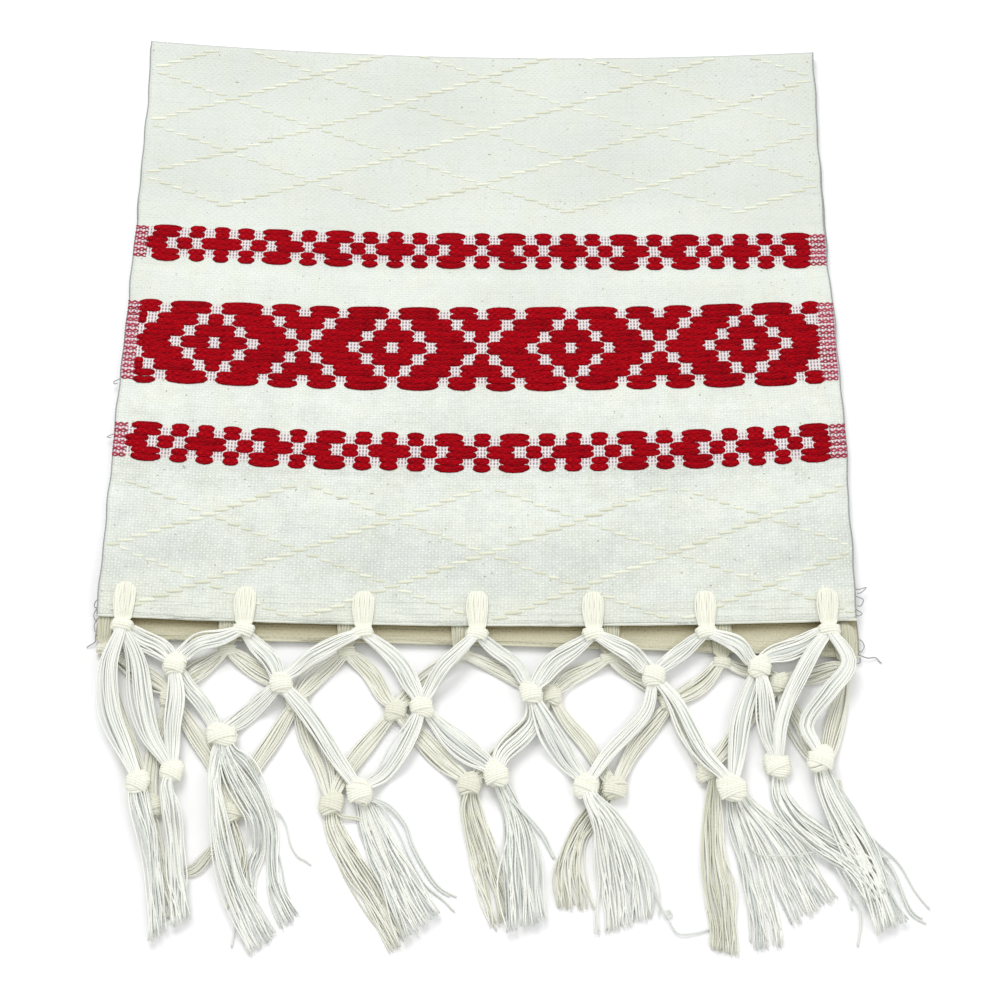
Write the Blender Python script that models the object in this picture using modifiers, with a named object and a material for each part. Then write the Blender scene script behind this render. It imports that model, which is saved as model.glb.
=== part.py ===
"""Folded ritual towel: one woven cloth folded once, with a knotted net of yarn at each of its two ends.

The cloth lies on the ground plane, folded at its back edge. The upper end's net lies over the lower end's.
Tables are in millimetres, seen from above: +X is right, +Y is towards the fold, +Z is up.
"""

import math
from collections import namedtuple

import bmesh
import bpy
import numpy as np

MM = 0.001

# Driving sizes, in millimetres
CLOTH_THICK = 1.4
LAYER_GAP = 1.0
CLEARANCE = 0.3
LAID_CLEARANCE = 0.5
FOLD_RADIUS = 2.4
STRAP_THICK = 1.4
UPPER_STRAP_WIDTH = 6.6
LOWER_STRAP_WIDTH = 6.0
STRAP_REACH = 16.0
SLOT_LENGTH = 2.8
SLOT_SIDE = 0.5
KNOT_SIDES = 6
KNOT_RINGS = 6
KNOT_RIDGE = 0.2
KNOT_SLANT = 1.0
KNOT_BITE = 0.4
UPPER_KNOT_HEIGHT = 6.0
LOWER_KNOT_HEIGHT = 5.2
HEM_KNOT_WIDTH = 11.0
HEM_KNOT_LENGTH = 8.0
HEM_KNOT_HEIGHT = 7.0
BUNDLE_WIDTH = 7.0
BUNDLE_HEIGHT = 2.6
BUNDLE_NECK = 0.62
LOCK_WIDTH = 2.9
LOCK_HEIGHT = 1.9
LOCK_TOP = 0.7
ROOT_INSET = 0.8
ROOT_RISE = 0.6
STRAP_ROOT = 0.9
LOCK_ROOTS = 0.45
LOCK_UNEVEN = 1.5
BUNDLE_POINTS = 5
LOCK_POINTS = 5
SAMPLE_STEP = 1.5

# Heights of the cloth's middle surface
LOWER_REST = CLOTH_THICK / 2
UPPER_REST = LOWER_REST + CLOTH_THICK + LAYER_GAP
LOWER_HEM_Z = STRAP_THICK + CLEARANCE + CLOTH_THICK / 2
STRAP_LAYER_Z = LOWER_HEM_Z + CLOTH_THICK / 2 + CLEARANCE
UPPER_HEM_Z = STRAP_LAYER_Z + STRAP_THICK + CLEARANCE + CLOTH_THICK / 2
UPPER_HEM_KNOT_BASE = STRAP_LAYER_Z + 0.7

# Lines across the cloth, each a shallow bow through its left end, middle and right end
Line = namedtuple("Line", "name y_left y_middle y_right x_left x_right")
UPPER_LINES = (
    Line("fold", 160.0, 152.8, 159.5, -169.7, 169.2),
    Line("far band", 47.5, 44.7, 48.3, -169.1, 168.8),
    Line("wide band", 4.8, 2.4, 9.5, -169.5, 170.4),
    Line("near band", -61.5, -66.2, -57.2, -170.4, 172.0),
    Line("hem", -161.0, -163.6, -158.6, -170.3, 170.6),
)
LOWER_LINES = (
    Line("fold", 160.0, 152.8, 159.5, -169.7, 169.2),
    Line("hem", -171.0, -171.6, -175.4, -170.0, 171.2),
)

# Rows of the cloth from the upper hem to the fold and on to the lower hem: a line, a step behind it, a height
Row = namedtuple("Row", "layer line behind z")
UPPER_ROWS = (
    Row("upper", 4, 0.0, UPPER_HEM_Z),
    Row("upper", 4, STRAP_REACH - SLOT_LENGTH / 2, UPPER_HEM_Z),
    Row("upper", 4, STRAP_REACH + SLOT_LENGTH / 2, UPPER_HEM_Z),
    Row("upper", 4, 27.0, UPPER_HEM_Z - 0.7),
    Row("upper", 4, 40.0, UPPER_REST + 0.9),
    Row("upper", 4, 56.0, UPPER_REST + 0.1),
    Row("upper", 3, -12.0, UPPER_REST),
    Row("upper", 3, 20.0, UPPER_REST + 0.3),
    Row("upper", 2.4, 0.0, UPPER_REST),
    Row("upper", 2, 0.0, UPPER_REST + 0.3),
    Row("upper", 1, 0.0, UPPER_REST),
    Row("upper", 0.6, 0.0, UPPER_REST + 0.2),
    Row("upper", 0, -32.0, UPPER_REST + 0.1),
    Row("upper", 0, -15.0, UPPER_REST + 1.1),
)
LOWER_ROWS = (
    Row("lower", 0, -14.0, LOWER_REST),
    Row("lower", 0.3, 0.0, LOWER_REST),
    Row("lower", 0.6, 0.0, LOWER_REST),
    Row("lower", 1, 60.0, LOWER_REST),
    Row("lower", 1, 42.0, LOWER_REST + 0.3),
    Row("lower", 1, 27.0, LOWER_HEM_Z - 0.4),
    Row("lower", 1, STRAP_REACH + SLOT_LENGTH / 2, LOWER_HEM_Z),
    Row("lower", 1, STRAP_REACH - SLOT_LENGTH / 2, LOWER_HEM_Z),
    Row("lower", 1, 0.0, LOWER_HEM_Z),
)
FOLD_STEPS = 6
COLUMNS_PER_STRAP = 3
SLOT_ROWS = 2

# Where bundles of yarn are strapped over each hem, from left to right
UPPER_STRAPS = (-158.0, -104.0, -51.0, 0.0, 52.0, 102.5, 157.5)
LOWER_STRAPS = (-165.0, -111.0, -58.0, -7.0, 59.0, 109.5, 164.5)

# Knots of a net below its hem
Knot = namedtuple("Knot", "name x y width length")
UPPER_KNOTS = (
    Knot("a", -133.5, -184.0, 11.0, 9.5),
    Knot("b", -86.0, -192.5, 11.0, 9.5),
    Knot("c", -24.0, -202.0, 11.0, 9.5),
    Knot("d", 24.0, -196.0, 11.0, 9.5),
    Knot("e", 78.5, -187.0, 11.0, 9.5),
    Knot("f", 125.5, -182.0, 11.0, 9.5),
    Knot("g", -145.5, -239.0, 11.0, 10.0),
    Knot("h", -131.5, -233.0, 11.0, 10.0),
    Knot("i", -111.0, -216.0, 14.5, 10.0),
    Knot("j", -50.0, -241.0, 12.0, 11.0),
    Knot("k", 9.0, -233.0, 12.0, 11.0),
    Knot("l", 48.0, -237.5, 12.0, 11.0),
    Knot("m", 111.0, -238.0, 14.0, 11.5),
    Knot("n", 131.5, -226.5, 12.5, 11.0),
    Knot("o", 150.0, -225.0, 12.5, 11.0),
)
LOWER_KNOTS = (
    Knot("a", -134.5, -198.0, 10.5, 9.0),
    Knot("b", -79.0, -200.0, 10.5, 9.0),
    Knot("c", -35.5, -203.5, 10.5, 9.0),
    Knot("d", 33.0, -195.0, 10.5, 9.0),
    Knot("e", 86.0, -198.0, 10.5, 9.0),
    Knot("f", 134.5, -188.0, 10.5, 9.0),
    Knot("g", -139.0, -248.0, 10.5, 9.5),
    Knot("h", -104.0, -250.0, 11.5, 9.5),
    Knot("i", -62.0, -246.0, 11.5, 9.5),
    Knot("j", -2.5, -236.5, 11.5, 9.5),
    Knot("k", 60.5, -238.0, 11.5, 9.5),
    Knot("l", 101.5, -229.5, 11.5, 9.5),
    Knot("m", 141.5, -236.0, 11.5, 9.5),
)

# Bundles of yarn from knot to knot: how far each bows towards +X and sways in an S
Link = namedtuple("Link", "start end bow sway")
UPPER_LINKS = (
    Link("hem1", "a", 0.0, 0.0),
    Link("hem1", "g", -8.0, -2.0),
    Link("hem1", "h", -1.0, 2.0),
    Link("hem2", "a", 0.0, 1.0),
    Link("hem2", "b", 0.0, 0.0),
    Link("hem3", "b", -1.0, 0.0),
    Link("hem3", "c", 2.0, 0.0),
    Link("hem4", "c", 0.0, 0.0),
    Link("hem4", "d", 1.0, 0.0),
    Link("hem5", "d", 0.0, 0.0),
    Link("hem5", "e", 0.0, 0.0),
    Link("hem6", "e", 0.0, 0.0),
    Link("hem6", "f", 0.0, 0.0),
    Link("hem7", "f", 0.0, 1.0),
    Link("hem7", "n", -6.0, 0.0),
    Link("hem7", "o", 2.0, 8.0),
    Link("a", "h", 1.0, 0.0),
    Link("a", "i", 0.0, 0.0),
    Link("b", "i", -1.0, 0.0),
    Link("b", "j", 1.0, 0.0),
    Link("c", "j", 5.0, 0.0),
    Link("c", "k", 0.0, 0.0),
    Link("d", "k", 1.0, 0.0),
    Link("d", "l", 0.0, 0.0),
    Link("e", "l", -1.0, 0.0),
    Link("e", "m", 0.0, 1.0),
    Link("f", "m", -2.0, 0.0),
    Link("f", "n", 0.0, 0.0),
)
LOWER_LINKS = (
    Link("hem1", "a", 0.0, 0.0),
    Link("hem1", "g", -3.0, 0.0),
    Link("hem2", "a", 0.0, 0.0),
    Link("hem2", "b", 0.0, 0.0),
    Link("hem3", "b", 0.0, 0.0),
    Link("hem3", "c", 0.0, 0.0),
    Link("hem4", "c", 0.0, 0.0),
    Link("hem4", "d", 0.0, 0.0),
    Link("hem5", "d", 0.0, 0.0),
    Link("hem5", "e", 0.0, 0.0),
    Link("hem6", "e", 3.0, 0.0),
    Link("hem6", "f", 0.0, 0.0),
    Link("hem7", "f", 0.0, 0.0),
    Link("hem7", "m", 2.0, 0.0),
    Link("a", "g", -4.0, 0.0),
    Link("a", "h", 2.0, 0.0),
    Link("b", "h", -2.0, 0.0),
    Link("b", "i", 1.0, 0.0),
    Link("c", "i", -3.0, 0.0),
    Link("c", "j", 0.0, 0.0),
    Link("d", "j", 1.0, 0.0),
    Link("d", "k", 0.0, 0.0),
    Link("e", "k", -2.0, 0.0),
    Link("e", "l", 0.0, 0.0),
    Link("f", "l", -1.0, 0.0),
    Link("f", "m", 0.0, 0.0),
)

# Tassels: the knot each hangs from, the ends of its first and last lock, their bow and number
Tassel = namedtuple("Tassel", "knot x_first y_first x_last y_last bow locks")
UPPER_TASSELS = (
    Tassel("g", -137.5, -298.0, -131.0, -304.0, 2.0, 2),
    Tassel("h", -127.0, -308.0, -119.5, -311.0, -1.0, 3),
    Tassel("i", -103.5, -311.0, -93.5, -290.0, 0.0, 2),
    Tassel("i", -87.0, -306.0, -73.0, -312.0, -3.0, 4),
    Tassel("j", -28.0, -310.0, -9.5, -298.0, -3.0, 5),
    Tassel("k", 15.0, -300.0, 35.0, -306.0, -1.0, 5),
    Tassel("l", 49.5, -308.0, 69.0, -299.0, -2.0, 5),
    Tassel("l", 80.0, -291.0, 99.0, -297.0, 3.0, 2),
    Tassel("m", 100.0, -310.0, 109.5, -317.0, -5.0, 3),
    Tassel("m", 117.0, -304.0, 157.5, -295.0, 1.0, 7),
    Tassel("n", 163.5, -305.0, 178.0, -280.0, 4.0, 4),
    Tassel("o", 174.0, -304.0, 197.0, -293.5, 6.0, 4),
)
LOWER_TASSELS = (
    Tassel("g", -134.0, -293.0, -127.0, -300.0, 0.0, 2),
    Tassel("h", -113.0, -289.0, -99.0, -296.0, -3.0, 3),
    Tassel("i", -43.0, -300.0, -32.0, -309.0, -4.0, 3),
    Tassel("j", 2.0, -302.0, 13.0, -305.0, 1.0, 3),
    Tassel("k", 38.0, -300.0, 47.0, -303.0, 1.0, 3),
    Tassel("l", 92.0, -298.0, 103.0, -306.0, 0.0, 3),
    Tassel("m", 139.0, -288.0, 158.0, -292.0, 0.0, 3),
)

CLOTH_COLOR = (0.82, 0.84, 0.79, 1.0)
YARN_COLOR = (0.86, 0.84, 0.72, 1.0)
CLOTH_ROUGHNESS = 0.9
YARN_ROUGHNESS = 0.8


def clear_scene():
    for item in list(bpy.data.objects):
        bpy.data.objects.remove(item, do_unlink=True)


def make_material(name, color, roughness):
    material = bpy.data.materials.new(name)
    material.use_nodes = True
    shader = material.node_tree.nodes["Principled BSDF"]
    shader.inputs["Base Color"].default_value = color
    shader.inputs["Roughness"].default_value = roughness
    shader.inputs["Metallic"].default_value = 0.0
    return material


def new_object(name, data, collection):
    item = bpy.data.objects.new(name, data)
    collection.objects.link(item)
    return item


def evaluated_mesh(item):
    bpy.context.view_layer.update()
    return bpy.data.meshes.new_from_object(item.evaluated_get(bpy.context.evaluated_depsgraph_get()))


def bow_at(line, u):
    """The y of a line at u, from 0 at its left end to 1 at its right end, on a parabola through its three points."""
    side = 2 * u - 1
    rise = (line.y_left + line.y_right) / 2 - line.y_middle
    lean = (line.y_right - line.y_left) / 2
    return line.y_middle + lean * side + rise * side * side


def share_of(line, x):
    return (x - line.x_left) / (line.x_right - line.x_left)


def cloth_place(lines, position, u):
    """The x and y at u on the line at a position between two lines of a layer."""
    first = min(int(position), len(lines) - 2)
    share = position - first
    near, far = lines[first], lines[first + 1]
    y = (1 - share) * bow_at(near, u) + share * bow_at(far, u)
    left = (1 - share) * near.x_left + share * far.x_left
    right = (1 - share) * near.x_right + share * far.x_right
    return left + (right - left) * u, y


def column_shares(hem, straps, strap_width):
    """The shares of the width where the grid has columns: the hem's ends, each slot's sides, and halfway to the next."""
    half = strap_width / 2 + SLOT_SIDE
    columns = [hem.x_left]
    for index, x in enumerate(straps):
        if index:
            columns.append((straps[index - 1] + x) / 2)
        columns += [x - half, x + half]
    columns.append(hem.x_right)
    return [share_of(hem, x) for x in columns]


def fold_rows():
    """Rows round the fold, as a step behind the fold's line and a height."""
    rows = []
    for step in range(FOLD_STEPS + 1):
        turn = math.pi * step / FOLD_STEPS
        behind = -CLOTH_THICK / 2 - FOLD_RADIUS + FOLD_RADIUS * math.sin(turn)
        z = LOWER_REST + FOLD_RADIUS + FOLD_RADIUS * math.cos(turn)
        rows.append(Row("fold", 0, behind, z))
    return rows


def ripple(x, y):
    """The slow unevenness of the upper layer, in millimetres."""
    return 0.22 * math.sin(x / 31.0 + y / 47.0) + 0.14 * math.sin(x / 17.0 - y / 23.0 + 1.3)


def make_cloth(collection, material):
    upper = column_shares(UPPER_LINES[-1], UPPER_STRAPS, UPPER_STRAP_WIDTH)
    lower = column_shares(LOWER_LINES[-1], LOWER_STRAPS, LOWER_STRAP_WIDTH)
    rows = list(UPPER_ROWS) + fold_rows() + list(LOWER_ROWS)
    across, along = len(upper) - 1, len(rows) - 1
    bm = bmesh.new()
    bmesh.ops.create_grid(bm, x_segments=across, y_segments=along, size=1.0)
    slots = []
    for face in bm.faces:
        centre = face.calc_center_median()
        column = int((centre.x + 1) / 2 * across)
        row = int((centre.y + 1) / 2 * along)
        slot_column = column % COLUMNS_PER_STRAP == 1
        if slot_column and row in (SLOT_ROWS - 1, along - SLOT_ROWS):
            slots.append(face)
    for vert in bm.verts:
        column = round((vert.co.x + 1) / 2 * across)
        index = round((vert.co.y + 1) / 2 * along)
        row = rows[index]
        turned = min(1.0, max(0.0, (index - SLOT_ROWS) / (along - 2 * SLOT_ROWS)))
        u = upper[column] * (1 - turned) + lower[column] * turned
        lines = LOWER_LINES if row.layer == "lower" else UPPER_LINES
        x, y = cloth_place(lines, row.line, u)
        z = row.z
        if row.layer == "upper" and lines[math.ceil(row.line)].name != "hem":
            z += ripple(x, y)
        vert.co = (x * MM, (y + row.behind) * MM, z * MM)
    bmesh.ops.delete(bm, geom=slots, context="FACES")
    bmesh.ops.recalc_face_normals(bm, faces=bm.faces)
    mesh = bpy.data.meshes.new("towel_cloth")
    bm.to_mesh(mesh)
    bm.free()
    cloth = new_object("towel_cloth", mesh, collection)
    mesh.materials.append(material)
    shell = cloth.modifiers.new("thickness", "SOLIDIFY")
    shell.thickness = CLOTH_THICK * MM
    shell.offset = 0.0
    shell.use_even_offset = True
    return cloth


class Heaps:
    """What already lies on the ground, as round patches with a top height, for what is laid over it."""

    def __init__(self):
        self.patches = []

    def add(self, x, y, radius, top):
        self.patches.append((x, y, radius, top))

    def add_path(self, path, width, height):
        for start, stop in zip(path[:-1], path[1:]):
            steps = max(2, math.ceil(math.dist(start, stop) / SAMPLE_STEP))
            for step in range(steps + 1):
                x, y, z, girth = start + (stop - start) * step / steps
                self.add(x, y, girth * width / 2, z + girth * height / 2)

    def add_hem(self, line, straps, strap_width):
        """The hem that the upper net passes over, with the straps on it."""
        backs = np.arange(0.0, STRAP_REACH, SAMPLE_STEP)
        for x in np.arange(line.x_left, line.x_right, SAMPLE_STEP):
            for back in backs:
                self.add(x, bow_at(line, share_of(line, x)) + back, SAMPLE_STEP, LOWER_HEM_Z + CLOTH_THICK / 2)
        for x in straps:
            for back in backs:
                self.add(x, bow_at(line, share_of(line, x)) + back, strap_width / 2, STRAP_LAYER_Z + STRAP_THICK)

    def under_strand(self, x, y, radius):
        """The lowest underside of a flat strand at a place."""
        patches = np.array(self.patches).reshape(-1, 4)
        near = np.hypot(patches[:, 0] - x, patches[:, 1] - y) < patches[:, 2] + radius
        return float(patches[near, 3].max()) + LAID_CLEARANCE if near.any() else 0.0

    def under_ball(self, x, y, radius, height):
        """The lowest underside of a round knot at a place, whose rim curves up from what lies beside it."""
        patches = np.array(self.patches).reshape(-1, 4)
        apart = np.maximum(np.hypot(patches[:, 0] - x, patches[:, 1] - y) - patches[:, 2], 0.0)
        near = apart < radius
        if not near.any():
            return 0.0
        curve = height / 2 * (1 - np.sqrt(1 - (apart[near] / radius) ** 2))
        return max(0.0, float((patches[near, 3] + LAID_CLEARANCE - curve).max()))


def curved_path(start, end, bow, sway, points):
    """Points in plan from start to end, pushed sideways by a bow and an S."""
    start, end = np.array(start, float), np.array(end, float)
    along = (end - start) / np.linalg.norm(end - start)
    side = np.array([-along[1], along[0]])
    share = np.linspace(0.0, 1.0, points)
    push = bow * np.sin(math.pi * share) + sway * np.sin(2 * math.pi * share)
    return start + share[:, None] * (end - start) + push[:, None] * side


def resting_heights(plan, radius, heaps):
    """The lowest underside at each point of a strand, so that the stretches beside it clear what lies below."""
    needed = np.zeros(len(plan))
    for index in range(len(plan) - 1):
        stretch = plan[index + 1] - plan[index]
        steps = max(2, math.ceil(np.linalg.norm(stretch) / SAMPLE_STEP))
        places = [plan[index] + stretch * step / steps for step in range(steps + 1)]
        top = max(heaps.under_strand(x, y, radius) for x, y in places)
        needed[index : index + 2] = np.maximum(needed[index : index + 2], top)
    return needed


def strand_profile(name, width, height, collection):
    """A strand's section: flat below, narrower on top."""
    outline = ((-1.0, -1.0), (1.0, -1.0), (LOCK_TOP, 1.0), (-LOCK_TOP, 1.0))
    curve = bpy.data.curves.new(name, "CURVE")
    curve.dimensions = "2D"
    spline = curve.splines.new("POLY")
    spline.points.add(len(outline) - 1)
    for point, (x, y) in zip(spline.points, outline):
        point.co = (x * width / 2 * MM, y * height / 2 * MM, 0.0, 1.0)
    spline.use_cyclic_u = True
    return new_object(name, curve, collection)


def strands_mesh(name, paths, width, height, collection):
    """One mesh of a closed tube along each path, whose points are x, y, z and girth."""
    profile = strand_profile(name + "_section", width, height, collection)
    curve = bpy.data.curves.new(name, "CURVE")
    curve.dimensions = "3D"
    curve.twist_mode = "Z_UP"
    curve.bevel_mode = "OBJECT"
    curve.bevel_object = profile
    curve.use_fill_caps = True
    for path in paths:
        spline = curve.splines.new("POLY")
        spline.points.add(len(path) - 1)
        for point, (x, y, z, girth) in zip(spline.points, path):
            point.co = (x * MM, y * MM, z * MM, 1.0)
            point.radius = girth
    item = new_object(name, curve, collection)
    mesh = evaluated_mesh(item)
    bpy.data.objects.remove(item)
    bpy.data.objects.remove(profile)
    return welded(mesh)


def welded(mesh):
    """The mesh with its loose caps welded on and its faces pointing out."""
    bm = bmesh.new()
    bm.from_mesh(mesh)
    bmesh.ops.remove_doubles(bm, verts=bm.verts, dist=1e-7)
    bmesh.ops.recalc_face_normals(bm, faces=bm.faces)
    bm.to_mesh(mesh)
    bm.free()
    return mesh


def knots_mesh(name, knots, bases, heights):
    """The knots: balls squeezed into turns of yarn, their axis along Y and flat below."""
    flat = math.cos(math.pi / KNOT_SIDES)
    bm = bmesh.new()
    for knot in knots:
        middle = bases[knot.name] + heights[knot.name] / 2
        made = bmesh.ops.create_uvsphere(bm, u_segments=KNOT_SIDES, v_segments=KNOT_RINGS, radius=1.0)
        for vert in made["verts"]:
            up, across, along = vert.co
            ridge = 1 - KNOT_RIDGE * math.sin(math.pi * along) ** 2
            vert.co = (
                (knot.x + across * ridge * knot.width / 2) * MM,
                (knot.y + along * knot.length / 2 + KNOT_SLANT * across) * MM,
                (middle + up / flat * ridge * heights[knot.name] / 2) * MM,
            )
    mesh = bpy.data.meshes.new(name)
    bm.to_mesh(mesh)
    bm.free()
    return mesh


def offset_path(path, distance):
    """The path moved sideways by a distance, with mitred corners."""
    path = np.array(path, float)
    steps = np.diff(path, axis=0)
    steps /= np.linalg.norm(steps, axis=1)[:, None]
    sides = np.stack([-steps[:, 1], steps[:, 0]], axis=1)
    before = np.vstack([sides[:1], sides])
    after = np.vstack([sides, sides[-1:]])
    middle = before + after
    middle /= (middle * before).sum(axis=1)[:, None]
    return path + distance * middle


def strap_mesh(knot, net, knot_z, collection):
    """A flat band looped over the hem, down through its slot and back under it, extruded along X."""
    hem_y = bow_at(net.hem, share_of(net.hem, knot.x))
    slot_y = hem_y + STRAP_REACH
    over = net.cloth_z + CLOTH_THICK / 2 + CLEARANCE + STRAP_THICK / 2
    under = net.cloth_z - CLOTH_THICK / 2 - CLEARANCE - STRAP_THICK / 2
    path = (
        (knot.y, knot_z + STRAP_ROOT),
        (hem_y - CLEARANCE, over),
        (slot_y, over),
        (slot_y, under),
        (hem_y - CLEARANCE, under),
        (knot.y, knot_z - STRAP_ROOT),
    )
    half = STRAP_THICK / 2
    outline = np.vstack([offset_path(path, half), offset_path(path, -half)[::-1]])
    curve = bpy.data.curves.new("strap", "CURVE")
    curve.dimensions = "2D"
    curve.fill_mode = "BOTH"
    curve.extrude = net.strap_width / 2 * MM
    spline = curve.splines.new("POLY")
    spline.points.add(len(outline) - 1)
    for point, (y, z) in zip(spline.points, outline):
        point.co = (y * MM, z * MM, 0.0, 1.0)
    spline.use_cyclic_u = True
    item = new_object("strap", curve, collection)
    item.location = (knot.x * MM, 0.0, 0.0)
    item.rotation_euler = (math.pi / 2, 0.0, math.pi / 2)
    mesh = evaluated_mesh(item)
    mesh.transform(item.matrix_world)
    bpy.data.objects.remove(item)
    return welded(mesh)


def joined(name, meshes):
    bm = bmesh.new()
    for mesh in meshes:
        bm.from_mesh(mesh)
        bpy.data.meshes.remove(mesh)
    whole = bpy.data.meshes.new(name)
    bm.to_mesh(whole)
    bm.free()
    return whole


def spread_batches(paths, width):
    """The paths in batches whose strands stay clear of each other, so that each batch is one clean operand."""
    batches = []
    for path in paths:
        low = path[:, :2].min(axis=0) - width
        high = path[:, :2].max(axis=0) + width
        for batch in batches:
            if all((low > other_high).any() or (high < other_low).any() for _, other_low, other_high in batch):
                batch.append((path, low, high))
                break
        else:
            batches.append([(path, low, high)])
    return [[path for path, _, _ in batch] for batch in batches]


def fused(name, meshes, collection):
    """One closed body from overlapping meshes, each of which is closed and crosses itself nowhere."""
    net = new_object(name, meshes[0], collection)
    operands = [new_object(f"{name}_part{number}", mesh, collection) for number, mesh in enumerate(meshes[1:])]
    for operand in operands:
        union = net.modifiers.new("union", "BOOLEAN")
        union.operation = "UNION"
        union.solver = "MANIFOLD"
        union.object = operand
    mesh = evaluated_mesh(net)
    mesh.name = name
    for operand in operands:
        bpy.data.objects.remove(operand)
    net.modifiers.clear()
    net.data = mesh
    return net


Strand = namedtuple("Strand", "start end plan girths width height")


def bundle_strands(links, knots):
    """The bundles from knot to knot, seen from above, widest halfway."""
    strands = []
    for link in links:
        start, end = knots[link.start], knots[link.end]
        plan = curved_path((start.x, start.y), (end.x, end.y), link.bow, link.sway, BUNDLE_POINTS)
        along = (plan[-1] - plan[0]) / np.linalg.norm(plan[-1] - plan[0])
        plan[0] += along * ROOT_INSET
        plan[-1] -= along * ROOT_INSET
        belly = np.sin(math.pi * np.linspace(0.0, 1.0, BUNDLE_POINTS))
        girths = BUNDLE_NECK + (1 - BUNDLE_NECK) * belly
        strands.append(Strand(link.start, link.end, plan, girths, BUNDLE_WIDTH, BUNDLE_HEIGHT))
    return strands


def lock_strands(tassels, knots):
    """The locks of each tassel, seen from above, fanned out from its knot."""
    strands = []
    for tassel in tassels:
        knot = knots[tassel.knot]
        for lock in range(tassel.locks):
            share = lock / (tassel.locks - 1)
            end_x = tassel.x_first + (tassel.x_last - tassel.x_first) * share
            end_y = tassel.y_first + (tassel.y_last - tassel.y_first) * share
            end_y += LOCK_UNEVEN * math.sin(5.0 * lock + knot.x)
            root = (knot.x + (share - 0.5) * knot.width * LOCK_ROOTS, knot.y - ROOT_INSET - share)
            plan = curved_path(root, (end_x, end_y), tassel.bow, 0.0, LOCK_POINTS)
            strands.append(Strand(tassel.knot, None, plan, np.ones(LOCK_POINTS), LOCK_WIDTH, LOCK_HEIGHT))
    return strands


def laid_path(strand, middles, heaps):
    """The path of a strand, its underside on the ground or on what it crosses and its roots inside its knots."""
    low = resting_heights(strand.plan, strand.width / 2, heaps)
    path = np.column_stack([strand.plan, low + strand.girths * strand.height / 2, strand.girths])
    lean = ROOT_RISE * math.sin(strand.plan[-1][0] - strand.plan[0][0])
    path[0, 2] = max(path[0, 2], middles[strand.start] + lean)
    if strand.end:
        path[-1, 2] = max(path[-1, 2], middles[strand.end] - lean)
    return path


def hem_knots(hem, straps):
    """The knots at the hem's edge, one for each strap."""
    knots = []
    for number, x in enumerate(straps, 1):
        y = bow_at(hem, share_of(hem, x)) - HEM_KNOT_LENGTH / 2 - 2 * CLEARANCE
        knots.append(Knot(f"hem{number}", x, y, HEM_KNOT_WIDTH, HEM_KNOT_LENGTH))
    return knots


def seat_knots(knots, strands, height, heaps):
    """The underside of each knot, on what lies below it and no lower than its strands need."""
    bases = {}
    for knot in knots.values():
        radius = (knot.width + knot.length) / 4
        bases[knot.name] = heaps.under_ball(knot.x, knot.y, radius, height)
    for strand in strands:
        low = resting_heights(strand.plan, strand.width / 2, heaps)
        bases[strand.start] = max(bases[strand.start], low[0] - height * KNOT_BITE)
        if strand.end:
            bases[strand.end] = max(bases[strand.end], low[-1] - height * KNOT_BITE)
    return bases


Net = namedtuple("Net", "name straps strap_width knots links tassels hem cloth_z knot_height hem_knot_base")
LOWER_NET = Net(
    "fringe_lower",
    LOWER_STRAPS,
    LOWER_STRAP_WIDTH,
    LOWER_KNOTS,
    LOWER_LINKS,
    LOWER_TASSELS,
    LOWER_LINES[-1],
    LOWER_HEM_Z,
    LOWER_KNOT_HEIGHT,
    0.0,
)
UPPER_NET = Net(
    "fringe_upper",
    UPPER_STRAPS,
    UPPER_STRAP_WIDTH,
    UPPER_KNOTS,
    UPPER_LINKS,
    UPPER_TASSELS,
    UPPER_LINES[-1],
    UPPER_HEM_Z,
    UPPER_KNOT_HEIGHT,
    UPPER_HEM_KNOT_BASE,
)


def make_net(net, heaps, collection, material):
    """One end's net of knotted yarn, laid on the heaps, which then hold it too."""
    edge = hem_knots(net.hem, net.straps)
    knots = {knot.name: knot for knot in edge + list(net.knots)}
    bundles = bundle_strands(net.links, knots)
    locks = lock_strands(net.tassels, knots)
    bases = seat_knots(knots, bundles + locks, net.knot_height, heaps)
    heights = dict.fromkeys(knots, net.knot_height)
    for knot in edge:
        bases[knot.name] = net.hem_knot_base
        heights[knot.name] = HEM_KNOT_HEIGHT
    middles = {key: bases[key] + heights[key] / 2 for key in knots}
    bundles = [laid_path(strand, middles, heaps) for strand in bundles]
    locks = [laid_path(strand, middles, heaps) for strand in locks]
    straps = [strap_mesh(knot, net, middles[knot.name], collection) for knot in edge]
    parts = [knots_mesh(net.name + "_knots", knots.values(), bases, heights), joined(net.name + "_straps", straps)]
    for batch in spread_batches(bundles, BUNDLE_WIDTH):
        parts.append(strands_mesh(net.name + "_bundles", batch, BUNDLE_WIDTH, BUNDLE_HEIGHT, collection))
    for batch in spread_batches(locks, LOCK_WIDTH):
        parts.append(strands_mesh(net.name + "_locks", batch, LOCK_WIDTH, LOCK_HEIGHT, collection))
    for path in bundles:
        heaps.add_path(path, BUNDLE_WIDTH, BUNDLE_HEIGHT)
    for path in locks:
        heaps.add_path(path, LOCK_WIDTH, LOCK_HEIGHT)
    for knot in knots.values():
        heaps.add(knot.x, knot.y, (knot.width + knot.length) / 4, bases[knot.name] + heights[knot.name])
    whole = fused(net.name, parts, collection)
    whole.data.materials.clear()
    whole.data.materials.append(material)


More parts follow.
